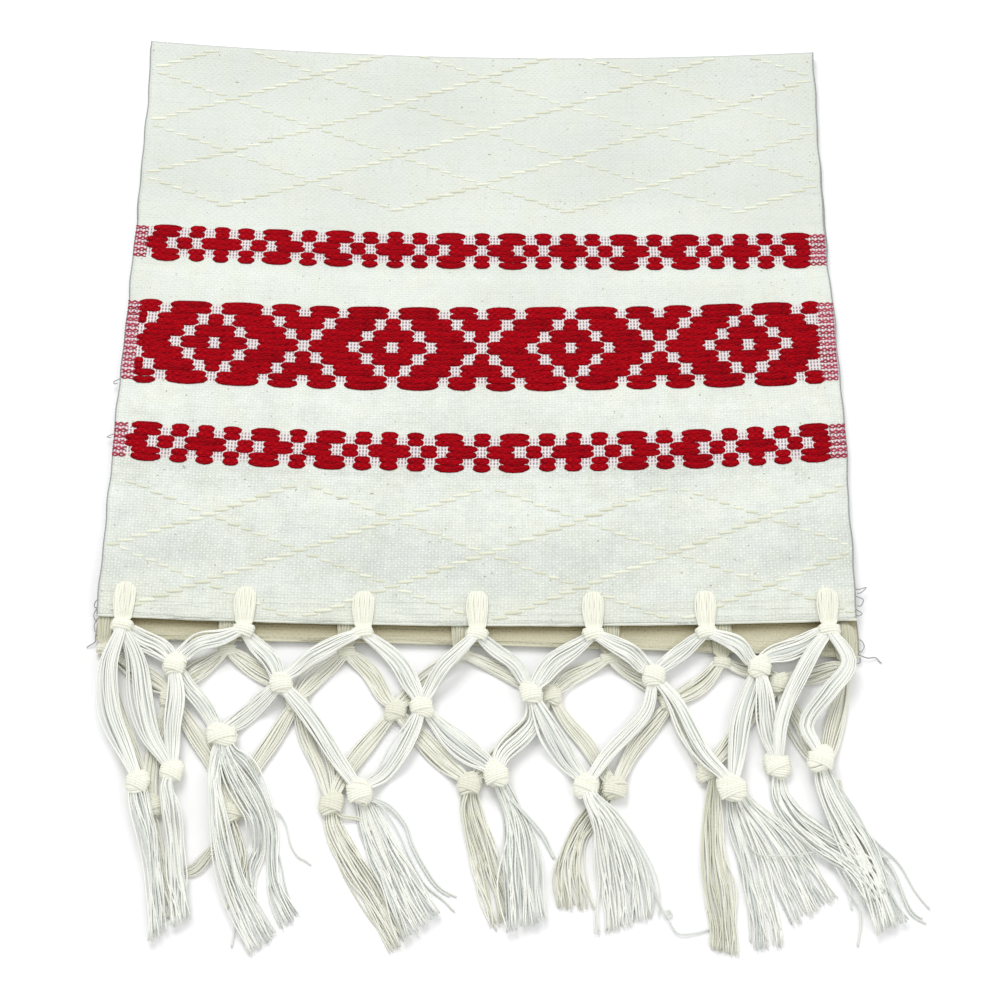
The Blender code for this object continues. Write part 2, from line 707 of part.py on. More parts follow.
def main():
    clear_scene()
    collection = bpy.data.collections.new("folded_towel")
    bpy.context.scene.collection.children.link(collection)
    yarn = make_material("fringe_yarn", YARN_COLOR, YARN_ROUGHNESS)
    make_cloth(collection, make_material("woven_cloth", CLOTH_COLOR, CLOTH_ROUGHNESS))
    heaps = Heaps()
    make_net(LOWER_NET, heaps, collection, yarn)
    heaps.add_hem(LOWER_NET.hem, LOWER_STRAPS, LOWER_STRAP_WIDTH)
    make_net(UPPER_NET, heaps, collection, yarn)


main()
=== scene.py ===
"""The looks of a folded ritual towel: white cotton with red bands, and a net of knotted yarn at each end.

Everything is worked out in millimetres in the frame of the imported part, and made in metres. The cloth is
a thin sheet on the solid's fold, its red and cream floats are puffs of yarn on it, and each bundle of the
nets is separate yarns.
"""

import math
from collections import namedtuple

import bpy
import numpy as np
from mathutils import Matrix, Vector


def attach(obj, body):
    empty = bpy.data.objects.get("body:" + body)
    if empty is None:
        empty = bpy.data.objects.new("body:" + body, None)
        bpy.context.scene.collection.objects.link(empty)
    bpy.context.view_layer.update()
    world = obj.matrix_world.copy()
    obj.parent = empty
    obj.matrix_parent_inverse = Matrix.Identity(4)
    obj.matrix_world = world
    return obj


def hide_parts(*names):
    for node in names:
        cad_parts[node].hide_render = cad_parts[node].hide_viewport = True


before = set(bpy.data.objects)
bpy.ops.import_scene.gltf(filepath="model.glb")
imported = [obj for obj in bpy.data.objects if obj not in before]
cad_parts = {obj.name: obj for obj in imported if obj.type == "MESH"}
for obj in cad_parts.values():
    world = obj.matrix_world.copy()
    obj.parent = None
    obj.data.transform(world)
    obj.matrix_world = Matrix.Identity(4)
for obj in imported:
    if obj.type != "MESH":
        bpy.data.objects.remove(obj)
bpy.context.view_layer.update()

MM = 0.001
UP = (0.0, 0.0, 1.0)
chance = np.random.default_rng(20)

# Sizes that the solid model was made with, in millimetres
FOLD_RADIUS = 2.4
CLOTH_THICK = 1.4
CLEARANCE = 0.3
LAID_CLEARANCE = 0.5
STRAP_THICK = 1.4
STRAP_REACH = 16.0
KNOT_BITE = 0.4
HEM_KNOT_WIDTH = 11.0
HEM_KNOT_LENGTH = 8.0
HEM_KNOT_HEIGHT = 7.0
BUNDLE_WIDTH = 7.0
BUNDLE_HEIGHT = 2.6
BUNDLE_NECK = 0.62
LOCK_HEIGHT = 1.9
ROOT_INSET = 0.8
ROOT_RISE = 0.6
ROW_THREE = -206.0
DROP_SHARE = 0.12
BUNDLE_POINTS = 5
SAMPLE_STEP = 1.5
LOWER_REST = 0.7
LOWER_HEM_Z = 2.4
STRAP_LAYER_Z = 3.4
UPPER_HEM_Z = 5.8
UPPER_HEM_KNOT_BASE = 4.1

# Lines across the cloth, each a shallow bow through its left end, middle and right end
Line = namedtuple("Line", "name y_left y_middle y_right x_left x_right")
UPPER_LINES = (
    Line("fold", 160.0, 152.8, 159.5, -169.7, 169.2),
    Line("far band", 47.5, 44.7, 48.3, -169.1, 168.8),
    Line("wide band", 4.8, 2.4, 9.5, -169.5, 170.4),
    Line("near band", -61.5, -66.2, -57.2, -170.4, 172.0),
    Line("hem", -161.0, -163.6, -158.6, -170.3, 170.6),
)
LOWER_LINES = (
    Line("fold", 160.0, 152.8, 159.5, -169.7, 169.2),
    Line("hem", -171.0, -171.6, -175.4, -170.0, 171.2),
)

# Heights of the cloth's middle surface: millimetres from an edge, and the height there
UPPER_FROM_HEM = ((0, 5.8), (17.4, 5.8), (27, 5.1), (40, 4.0), (56, 3.3), (90, 3.1), (400, 3.1))
UPPER_FROM_FOLD = ((0, 5.6), (3.1, 5.5), (8, 5.1), (15, 4.2), (24, 3.5), (34, 3.1), (400, 3.1))
LOWER_FROM_HEM = ((0, 2.4), (17.4, 2.4), (27, 2.0), (42, 1.0), (60, 0.7), (400, 0.7))

# Where bundles of yarn are strapped over each hem, from left to right
UPPER_STRAPS = (-158.0, -104.0, -51.0, 0.0, 52.0, 102.5, 157.5)
LOWER_STRAPS = (-165.0, -111.0, -58.0, -7.0, 59.0, 109.5, 164.5)

# Knots of a net below its hem
Knot = namedtuple("Knot", "name x y width length")
UPPER_KNOTS = (
    Knot("a", -133.5, -184.0, 11.0, 9.5), Knot("b", -86.0, -192.5, 11.0, 9.5),
    Knot("c", -24.0, -202.0, 11.0, 9.5), Knot("d", 24.0, -196.0, 11.0, 9.5),
    Knot("e", 78.5, -187.0, 11.0, 9.5), Knot("f", 125.5, -182.0, 11.0, 9.5),
    Knot("g", -145.5, -239.0, 11.0, 10.0), Knot("h", -131.5, -233.0, 11.0, 10.0),
    Knot("i", -111.0, -216.0, 14.5, 10.0), Knot("j", -50.0, -241.0, 12.0, 11.0),
    Knot("k", 9.0, -233.0, 12.0, 11.0), Knot("l", 48.0, -237.5, 12.0, 11.0),
    Knot("m", 111.0, -238.0, 14.0, 11.5), Knot("n", 131.5, -226.5, 12.5, 11.0),
    Knot("o", 150.0, -225.0, 12.5, 11.0),
)
LOWER_KNOTS = (
    Knot("a", -134.5, -198.0, 10.5, 9.0), Knot("b", -79.0, -200.0, 10.5, 9.0),
    Knot("c", -35.5, -203.5, 10.5, 9.0), Knot("d", 33.0, -195.0, 10.5, 9.0),
    Knot("e", 86.0, -198.0, 10.5, 9.0), Knot("f", 134.5, -188.0, 10.5, 9.0),
    Knot("g", -139.0, -248.0, 10.5, 9.5), Knot("h", -104.0, -250.0, 11.5, 9.5),
    Knot("i", -62.0, -246.0, 11.5, 9.5), Knot("j", -2.5, -236.5, 11.5, 9.5),
    Knot("k", 60.5, -238.0, 11.5, 9.5), Knot("l", 101.5, -229.5, 11.5, 9.5),
    Knot("m", 151.0, -229.0, 11.5, 9.5),
)

# Bundles of yarn from knot to knot: how far each bows towards +X and sways in an S
Link = namedtuple("Link", "start end bow sway", defaults=(0.0, 0.0))
UPPER_LINKS = (
    Link("hem1", "a"), Link("hem1", "g", -8.0, -2.0), Link("hem1", "h", -1.0, 2.0),
    Link("hem2", "a", 0.0, 1.0), Link("hem2", "b"), Link("hem3", "b", -1.0), Link("hem3", "c", 2.0),
    Link("hem4", "c"), Link("hem4", "d", 1.0), Link("hem5", "d"), Link("hem5", "e"), Link("hem6", "e"),
    Link("hem6", "f"), Link("hem7", "f", 0.0, 1.0), Link("hem7", "n", -6.0), Link("hem7", "o", 2.0, 8.0),
    Link("a", "h", 1.0), Link("a", "i"), Link("b", "i", -1.0), Link("b", "j", 1.0), Link("c", "j", 5.0),
    Link("c", "k"), Link("d", "k", 3.5, 2.5), Link("d", "l"), Link("e", "l", 4.0, 2.0),
    Link("e", "m", 0.0, 1.0), Link("f", "m", -2.0), Link("f", "n"),
)
LOWER_LINKS = (
    Link("hem1", "a"), Link("hem1", "g", -3.0), Link("hem2", "a"), Link("hem2", "b"), Link("hem3", "b"),
    Link("hem3", "c"), Link("hem4", "c"), Link("hem4", "d"), Link("hem5", "d"), Link("hem5", "e"),
    Link("hem6", "e", 3.0), Link("hem6", "f"), Link("hem7", "f"), Link("hem7", "m", 2.0),
    Link("a", "g", -4.0), Link("a", "h", 2.0), Link("b", "h", -2.0), Link("b", "i", 1.0),
    Link("c", "i", -3.0), Link("c", "j"), Link("d", "j", 1.0), Link("d", "k"), Link("e", "k", -2.0),
    Link("e", "l"), Link("f", "l", -1.0), Link("f", "m"),
)

# Tassels in clumps: the knot each hangs from, its yarns, how much longer its right side is, and its places,
# each with a width
Clump = namedtuple("Clump", "knot yarns cut places")
UPPER_CLUMPS = (
    Clump("g", 20, -5.5, (
        (-146.0, -236.4, 3.5), (-145.0, -243.7, 8.2), (-142.6, -252.2, 8.6), (-139.8, -261.1, 7.3),
        (-137.2, -273.0, 6.4), (-134.7, -289.5, 6.7), (-132.2, -305.8, 7.5),
    )),
    Clump("h", 18, -3.6, (
        (-132.4, -234.0, 3.5), (-132.7, -240.8, 5.6), (-130.3, -250.7, 7.3), (-128.6, -261.8, 6.8),
        (-126.6, -278.5, 6.8), (-124.6, -289.4, 7.6), (-122.6, -299.7, 8.4),
    )),
    Clump("i", 16, -2.7, (
        (-110.9, -216.7, 3.9), (-111.8, -223.2, 6.1), (-113.0, -231.5, 4.8), (-112.0, -241.5, 3.4),
        (-109.3, -256.3, 6.9), (-105.9, -269.5, 8.1), (-100.4, -284.8, 9.3), (-92.8, -299.8, 11.8),
        (-88.1, -308.3, 13.0),
    )),
    Clump("i", 14, -2.7, (
        (-110.0, -216.7, 3.9), (-107.4, -224.5, 7.8), (-102.2, -231.3, 13.0), (-96.1, -239.5, 11.2),
        (-91.3, -248.4, 8.6), (-87.3, -259.1, 6.4), (-86.2, -272.4, 5.1), (-83.9, -284.6, 5.5),
        (-76.9, -298.3, 7.6),
    )),
    Clump("i", 8, 1.8, (
        (-110.9, -216.7, 3.5), (-108.6, -226.8, 6.1), (-104.5, -236.8, 7.8), (-98.2, -247.6, 7.7),
        (-93.5, -256.5, 6.4), (-92.4, -267.2, 5.5), (-94.5, -276.9, 5.1), (-94.6, -289.1, 5.5),
    )),
    Clump("j", 26, -4.5, (
        (-52.0, -239.8, 3.9), (-47.5, -245.7, 7.3), (-43.7, -255.5, 11.2), (-39.1, -266.6, 13.2),
        (-33.7, -277.5, 14.9), (-28.3, -289.2, 17.8), (-22.1, -301.2, 21.0),
    )),
    Clump("k", 24, -4.1, (
        (8.5, -232.3, 3.9), (12.5, -240.0, 6.9), (16.8, -249.4, 9.5), (19.5, -259.2, 13.3),
        (20.8, -272.1, 17.1), (21.6, -285.6, 18.2), (22.9, -299.8, 19.4),
    )),
    Clump("l", 30, -8.2, (
        (48.1, -235.9, 3.9), (50.6, -244.5, 6.9), (56.9, -255.7, 13.4), (62.2, -270.7, 22.7),
        (64.9, -283.8, 27.2), (65.5, -298.5, 28.3),
    )),
    Clump("m", 14, -1.8, (
        (111.9, -237.9, 3.9), (112.1, -244.2, 6.9), (114.6, -255.9, 9.5), (118.3, -269.6, 10.3),
        (120.8, -280.6, 10.7), (123.6, -294.4, 11.9), (124.6, -307.7, 12.6),
    )),
    Clump("m", 26, -4.5, (
        (113.2, -237.9, 3.9), (118.2, -244.2, 7.8), (127.1, -255.8, 14.7), (134.3, -267.2, 18.9),
        (139.7, -278.6, 22.2), (145.3, -291.6, 25.5),
    )),
    Clump("n", 20, -2.7, (
        (132.1, -226.2, 3.9), (132.1, -234.0, 6.1), (133.4, -242.2, 8.7), (139.0, -251.1, 10.4),
        (148.9, -260.4, 11.2), (159.2, -267.8, 10.7), (167.6, -276.6, 11.1), (172.5, -285.2, 13.6),
    )),
    Clump("o", 22, -3.6, (
        (150.6, -223.7, 3.9), (151.1, -230.6, 7.0), (154.3, -241.9, 10.4), (160.0, -254.5, 13.4),
        (165.8, -264.7, 15.5), (170.6, -275.6, 14.1), (173.7, -287.4, 12.4), (176.6, -299.0, 15.2),
    )),
)
LOWER_CLUMPS = (
    Clump("g", 12, 0.0, (
        (-140.1, -247.4, 3.4), (-138.0, -258.6, 6.0), (-133.8, -274.0, 7.6), (-130.7, -287.1, 8.4),
        (-128.7, -297.0, 9.2),
    )),
    Clump("h", 12, 0.0, (
        (-105.9, -250.1, 3.4), (-102.2, -261.7, 6.0), (-99.9, -272.3, 6.8), (-101.1, -281.1, 5.9),
        (-103.1, -289.8, 5.1),
    )),
    Clump("i", 22, -3.6, (
        (-61.9, -242.9, 3.5), (-62.0, -249.6, 5.6), (-60.9, -256.8, 6.9), (-57.1, -265.2, 7.7),
        (-51.2, -274.8, 8.5), (-43.7, -284.8, 8.9), (-37.0, -296.0, 8.4), (-30.8, -307.5, 7.5),
    )),
    Clump("j", 18, -1.8, (
        (-1.9, -234.4, 3.5), (-2.2, -241.2, 6.9), (-0.8, -250.3, 9.1), (2.3, -261.4, 10.3),
        (5.8, -272.9, 11.1), (9.3, -284.2, 11.0), (12.8, -297.1, 11.8),
    )),
    Clump("k", 18, 2.7, (
        (58.2, -232.3, 3.5), (56.3, -241.5, 5.2), (50.5, -249.7, 6.9), (44.0, -260.5, 8.6),
        (40.4, -275.6, 13.2), (42.0, -291.7, 14.0),
    )),
    Clump("l", 20, 2.7, (
        (104.0, -230.9, 3.5), (103.1, -243.6, 6.9), (102.2, -255.8, 9.1), (102.5, -270.4, 11.1),
        (104.2, -283.6, 13.6), (105.3, -297.9, 11.8), (104.9, -309.4, 10.5),
    )),
    Clump("m", 14, 0.0, (
        (157.1, -233.4, 3.5), (157.4, -243.9, 5.2), (161.0, -255.1, 6.9), (166.3, -266.2, 7.7),
        (169.8, -277.2, 8.6), (172.6, -285.9, 9.4),
    )),
)

# The weave: a pattern cell is four warp ends wide, and the motifs repeat every 14 cells
CELLS = 56
ENDS_PER_CELL = 4
REPEAT = 14
MOTIF_CENTRE = 7
CELL_SHIFT = 0.05
WEFT_PITCH = 1.38
PICK_PITCH = 3.16
PATTERN_LIFT = 0.4
DASHES_PER_PICK = 1.75
SELVAGE_CELLS = 1.0
SHEET_THICK = 0.9
NARROW_CHART = (
    "#.#.##.#.##.#.",
    "##.#.##.##.#.#",
    "#.#.##.#.##.#.",
)
WIDE_CHART = (
    ".###.##.##.###",
    "#.###.###.###.",
    "##.###.#.###.#",
    ".##.###.###.##",
    "##.###.#.###.#",
    "#.###.###.###.",
    ".###.##.##.###",
)
Band = namedtuple("Band", "line chart")
BANDS = (Band(1, NARROW_CHART), Band(2, WIDE_CHART), Band(3, NARROW_CHART))

# Cream diamonds: rows of short floats that step one cell a row, from a row where they cross at the motifs'
# centres
Lattice = namedtuple("Lattice", "line y_cross step first last cell_shift girth")
LATTICES = (
    Lattice(1, 78.3, 2.29, -12, 28, 0.0, 0.9),
    Lattice(4, 53.6, 2.5, -6, 20, 0.6, 1.15),
)


def bow_at(line, u):
    """The y of a line at u, from 0 at its left end to 1 at its right, on the parabola of its points."""
    side = 2 * u - 1
    rise = (line.y_left + line.y_right) / 2 - line.y_middle
    lean = (line.y_right - line.y_left) / 2
    return line.y_middle + lean * side + rise * side * side


def share_of(line, x):
    return (x - line.x_left) / (line.x_right - line.x_left)


def line_y(line, x):
    return bow_at(line, share_of(line, x))


def line_x(line, u):
    return line.x_left + (line.x_right - line.x_left) * u


def bell(value, centre, width):
    """1 at the centre, falling off smoothly to both sides."""
    return np.exp(-(((value - centre) / width) ** 2))


def held_in(value):
    """A value held between 0 and 1."""
    return np.clip(value, 0.0, 1.0)


def below_line(line, u, y):
    """How far a place lies below the first pick of the band that starts at a line, in millimetres."""
    return bow_at(line, u) + PATTERN_LIFT - y


def band_depth(chart):
    """How far a band reaches along the cloth, at two picks to a row of its chart."""
    return 2 * len(chart) * PICK_PITCH


def cloth_place(lines, position, u):
    """The x and y at u on the line at a position between two lines of a layer."""
    first = min(int(position), len(lines) - 2)
    share = position - first
    near, far = lines[first], lines[first + 1]
    y = (1 - share) * bow_at(near, u) + share * bow_at(far, u)
    left = (1 - share) * near.x_left + share * far.x_left
    right = (1 - share) * near.x_right + share * far.x_right
    return left + (right - left) * u, y


def eased(table, distance):
    """A height read from a table, its corners rounded off over a few millimetres."""
    at, height = zip(*table)
    spread = np.array((-4.0, -2.0, 0.0, 2.0, 4.0))
    looked = np.abs(np.asarray(distance)[..., None] + spread)
    return np.interp(looked, at, height).mean(axis=-1)


def ripple(x, y):
    """The slow unevenness of the upper layer."""
    slow = 0.22 * np.sin(x / 31.0 + y / 47.0) + 0.14 * np.sin(x / 17.0 - y / 23.0 + 1.3)
    fine = 0.10 * np.sin(x / 9.0 + y / 13.0) * np.sin(y / 11.0 - x / 29.0)
    return slow + fine


def band_swell(u, y):
    """How far the cloth stands up where pattern yarn thickens it, with a slack ridge below the last band."""
    swell = np.zeros(np.broadcast(u, y).shape)
    for line, chart in BANDS:
        below = below_line(UPPER_LINES[line], u, y)
        inside = np.minimum(below, band_depth(chart) - below)
        swell = swell + 0.55 * held_in(0.5 + inside / 4.0)
    past_bands = below - band_depth(chart)
    return swell + 0.7 * bell(past_bands, 5.0, 2.2) - 0.2 * bell(past_bands, 1.2, 1.5)


def upper_height(u, y):
    """The height of the upper layer's middle surface, in millimetres."""
    fold = UPPER_LINES[0]
    from_hem = y - bow_at(UPPER_LINES[-1], u)
    from_fold = bow_at(fold, u) - y
    height = np.maximum(eased(UPPER_FROM_HEM, from_hem), eased(UPPER_FROM_FOLD, from_fold))
    away = held_in((from_hem - 20.0) / 25.0) * held_in((from_fold - 6.0) / 20.0)
    return height + ripple(line_x(fold, u), y) * away + band_swell(u, y)


def lower_height(u, y):
    return eased(LOWER_FROM_HEM, y - bow_at(LOWER_LINES[-1], u))


def smooth_path(points, count):
    """Points shared evenly along a smooth curve through a few."""
    points = np.asarray(points, float)
    padded = np.vstack([2 * points[0] - points[1], points, 2 * points[-1] - points[-2]])
    share = np.linspace(0.0, len(points) - 1, count)
    first = np.minimum(share.astype(int), len(points) - 2)
    part = (share - first)[:, None]
    a, b, c, d = (padded[first + step] for step in range(4))
    cubic = (3 * b - a - 3 * c + d) * part**3
    square = (2 * a - 5 * b + 4 * c - d) * part**2
    return 0.5 * (2 * b + (c - a) * part + square + cubic)


class Strands:
    """Closed tubes of yarn gathered into one mesh, with a UV map round each and in millimetres along it."""

    def __init__(self, sides):
        self.sides = sides
        self.points = []
        self.faces = []
        self.uvs = []
        self.tones = []
        self.total = 0

    def add(self, path, width, height, reference, tone, closed=False):
        """A tube along a path; reference is a direction that its flat side faces."""
        path = np.asarray(path, float)
        count = len(path)
        if closed:
            along = np.roll(path, -1, axis=0) - np.roll(path, 1, axis=0)
        else:
            along = np.gradient(path, axis=0)
        along /= np.linalg.norm(along, axis=1)[:, None]
        side = np.cross(along, reference)
        side /= np.linalg.norm(side, axis=1)[:, None]
        up = np.cross(side, along)
        turn = np.linspace(0.0, 2 * math.pi, self.sides, endpoint=False)
        width = np.broadcast_to(width, count)[:, None, None]
        height = np.broadcast_to(height, count)[:, None, None]
        rings = path[:, None, :] + width * np.cos(turn)[None, :, None] * side[:, None, :]
        rings = rings + height * np.sin(turn)[None, :, None] * up[:, None, :]
        gone = np.concatenate([[0.0], np.cumsum(np.linalg.norm(np.diff(path, axis=0), axis=1))])
        rows = count if closed else count - 1
        row = np.arange(rows)[:, None]
        column = np.arange(self.sides)[None, :]
        after_row = (row + 1) % count
        after_column = (column + 1) % self.sides
        corners = [
            row * self.sides + column,
            row * self.sides + after_column,
            after_row * self.sides + after_column,
            after_row * self.sides + column,
        ]
        quads = np.stack([np.broadcast_to(c, (rows, self.sides)) for c in corners], axis=-1) + self.total
        self.faces += quads.reshape(-1, 4).tolist()
        low = np.broadcast_to(gone[:rows, None], (rows, self.sides))
        ahead = gone[1:] if not closed else np.append(gone[1:], gone[-1] + gone[1])
        high = np.broadcast_to(ahead[:, None], (rows, self.sides))
        left = np.broadcast_to(column / self.sides, (rows, self.sides))
        right = left + 1 / self.sides
        pairs = ((left, low), (right, low), (right, high), (left, high))
        uv = np.stack([np.stack(pair, axis=-1) for pair in pairs], axis=-2)
        self.uvs.append(uv.reshape(-1, 2))
        if not closed:
            start = list(range(self.total + self.sides - 1, self.total - 1, -1))
            last = self.total + (count - 1) * self.sides
            self.faces += [start, list(range(last, last + self.sides))]
            self.uvs.append(np.zeros((2 * self.sides, 2)))
        self.points.append(rings.reshape(-1, 3))
        self.tones.append(np.full(count * self.sides, tone))
        self.total += count * self.sides

    def piece(self, name, material, slot):
        mesh = bpy.data.meshes.new(name)
        mesh.from_pydata((np.vstack(self.points) * MM).tolist(), [], self.faces)
        layer = mesh.uv_layers.new(name="yarn")
        layer.data.foreach_set("uv", np.vstack(self.uvs).astype(np.float32).ravel())
        tone = mesh.attributes.new("tone", "FLOAT", "POINT")
        tone.data.foreach_set("value", np.concatenate(self.tones).astype(np.float32))
        mesh.shade_smooth()
        mesh.materials.append(material)
        return placed(name, mesh)


def placed(name, data):
    """An object of the towel, riding on its only body."""
    item = bpy.data.objects.new(name, data)
    bpy.context.scene.collection.objects.link(item)
    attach(item, "root")
    return item


class Value:
    """A number that a material works out: each sum or product with one makes a math node."""

    def __init__(self, nodes, socket):
        self.nodes = nodes
        self.socket = socket

    def __add__(self, other):
        return self.nodes.math("ADD", self, other)

    def __sub__(self, other):
        return self.nodes.math("SUBTRACT", self, other)

    def __rsub__(self, other):
        return self.nodes.math("SUBTRACT", other, self)

    def __mul__(self, other):
        return self.nodes.math("MULTIPLY", self, other)

    def __truediv__(self, other):
        return self.nodes.math("DIVIDE", self, other)


class Nodes:
    """A material's nodes, made and linked by short calls."""

    def __init__(self, name, color, roughness, sheen, specular=0.25):
        self.material = bpy.data.materials.new(name)
        self.material.use_nodes = True
        self.tree = self.material.node_tree
        self.shader = self.tree.nodes["Principled BSDF"]
        self.shader.inputs["Base Color"].default_value = (*color, 1.0)
        self.shader.inputs["Roughness"].default_value = roughness
        self.shader.inputs["Specular IOR Level"].default_value = specular
        self.shader.inputs["Sheen Weight"].default_value = sheen
        self.shader.inputs["Sheen Roughness"].default_value = 0.5

    def fill(self, socket, value):
        if isinstance(value, Value):
            self.tree.links.new(value.socket, socket)
        elif isinstance(value, tuple):
            socket.default_value = (*value, 1.0)
        else:
            socket.default_value = value

    def make(self, kind, *values):
        """A node with its first inputs filled."""
        node = self.tree.nodes.new(kind)
        for socket, value in zip(node.inputs, values):
            self.fill(socket, value)
        return node

    def math(self, operation, *values, clamp=False):
        node = self.make("ShaderNodeMath", *values)
        node.operation = operation
        node.use_clamp = clamp
        return Value(self, node.outputs[0])

    def between(self, value, low, high):
        """From 0 at low to 1 at high."""
        node = self.make("ShaderNodeMapRange", value, low, high)
        node.interpolation_type = "SMOOTHSTEP"
        return Value(self, node.outputs["Result"])

    def mixed(self, share, first, second):
        node = self.make("ShaderNodeMix", share)
        node.data_type = "RGBA"
        for socket, value in zip(node.inputs[6:8], (first, second)):
            self.fill(socket, value)
        return Value(self, node.outputs[2])

    def tinted(self, color, layers):
        """A colour with tints laid over it, each with its own share."""
        for share, tint in layers:
            color = self.mixed(share, color, tint)
        return color

    def parts(self, vector):
        return [Value(self, socket) for socket in self.make("ShaderNodeSeparateXYZ", vector).outputs]

    def uv(self, name):
        node = self.make("ShaderNodeUVMap")
        node.uv_map = name
        return self.parts(Value(self, node.outputs[0]))[:2]

    def attribute(self, name):
        node = self.make("ShaderNodeAttribute")
        node.attribute_name = name
        return Value(self, node.outputs["Fac"])

    def place(self):
        return Value(self, self.make("ShaderNodeTexCoord").outputs["Object"])

    def noise(self, place, scale, detail):
        """Noise at a place, or at values that stand for one."""
        if isinstance(place, tuple):
            place = Value(self, self.make("ShaderNodeCombineXYZ", *place).outputs[0])
        node = self.make("ShaderNodeTexNoise", place)
        node.inputs["Scale"].default_value = scale
        node.inputs["Detail"].default_value = detail
        return Value(self, node.outputs["Fac"])

    def finished(self, color, height=None, depth=0.0):
        """The material, with its colour and with bumps of a depth in metres."""
        self.fill(self.shader.inputs["Base Color"], color)
        if height is not None:
            bump = self.make("ShaderNodeBump")
            bump.inputs["Distance"].default_value = depth
            bump.inputs["Strength"].default_value = 1.0
            self.fill(bump.inputs["Height"], height)
            self.fill(self.shader.inputs["Normal"], Value(self, bump.outputs[0]))
        return self.material


# Colours of the cloth, and how strongly each tint shows
CLOTH_WHITE = (0.79, 0.835, 0.775)
CLOTH_SHADE = (0.40, 0.43, 0.40)
CLOTH_WARM = (0.80, 0.825, 0.735)
# Partly the red weft seen through the open weave, partly painted shade in its gaps
GAP_DARK = (0.12, 0.06, 0.10)
# Painted shade: the lower layer's strip beside and under the upper hem, darker and warmer
STRIP_PAINTED_SHADE = (0.66, 0.63, 0.45)
# Painted shadow: dark brown under the upper hem's edge, on the lower layer
UNDER_HEM_SHADOW = (0.25, 0.185, 0.05)
HEM_CREAM = (0.84, 0.83, 0.68)
BAND_PINK = (0.80, 0.50, 0.62)
# Painted shade: a dark outline along the cloth's side edges and the fold
RIM_PAINTED_SHADE = (0.24, 0.26, 0.26)
NEP = (0.30, 0.27, 0.16)
# Painted shade between the yarns of the weave, and how much less of it there is in the bands
WEAVE_GAP_SHADE = 0.46
BAND_GAP_SHADE_LOSS = 0.3
# Painted shade and light in the cloth's valleys, ridges and rumples
RELIEF_SHADE_WEIGHT = 0.10
# Painted shade and light of soft rumples, at random
RUMPLE_SHADE = 0.5
FAR_CONTRAST = 0.16
WEAVE_BUMP = 0.00022


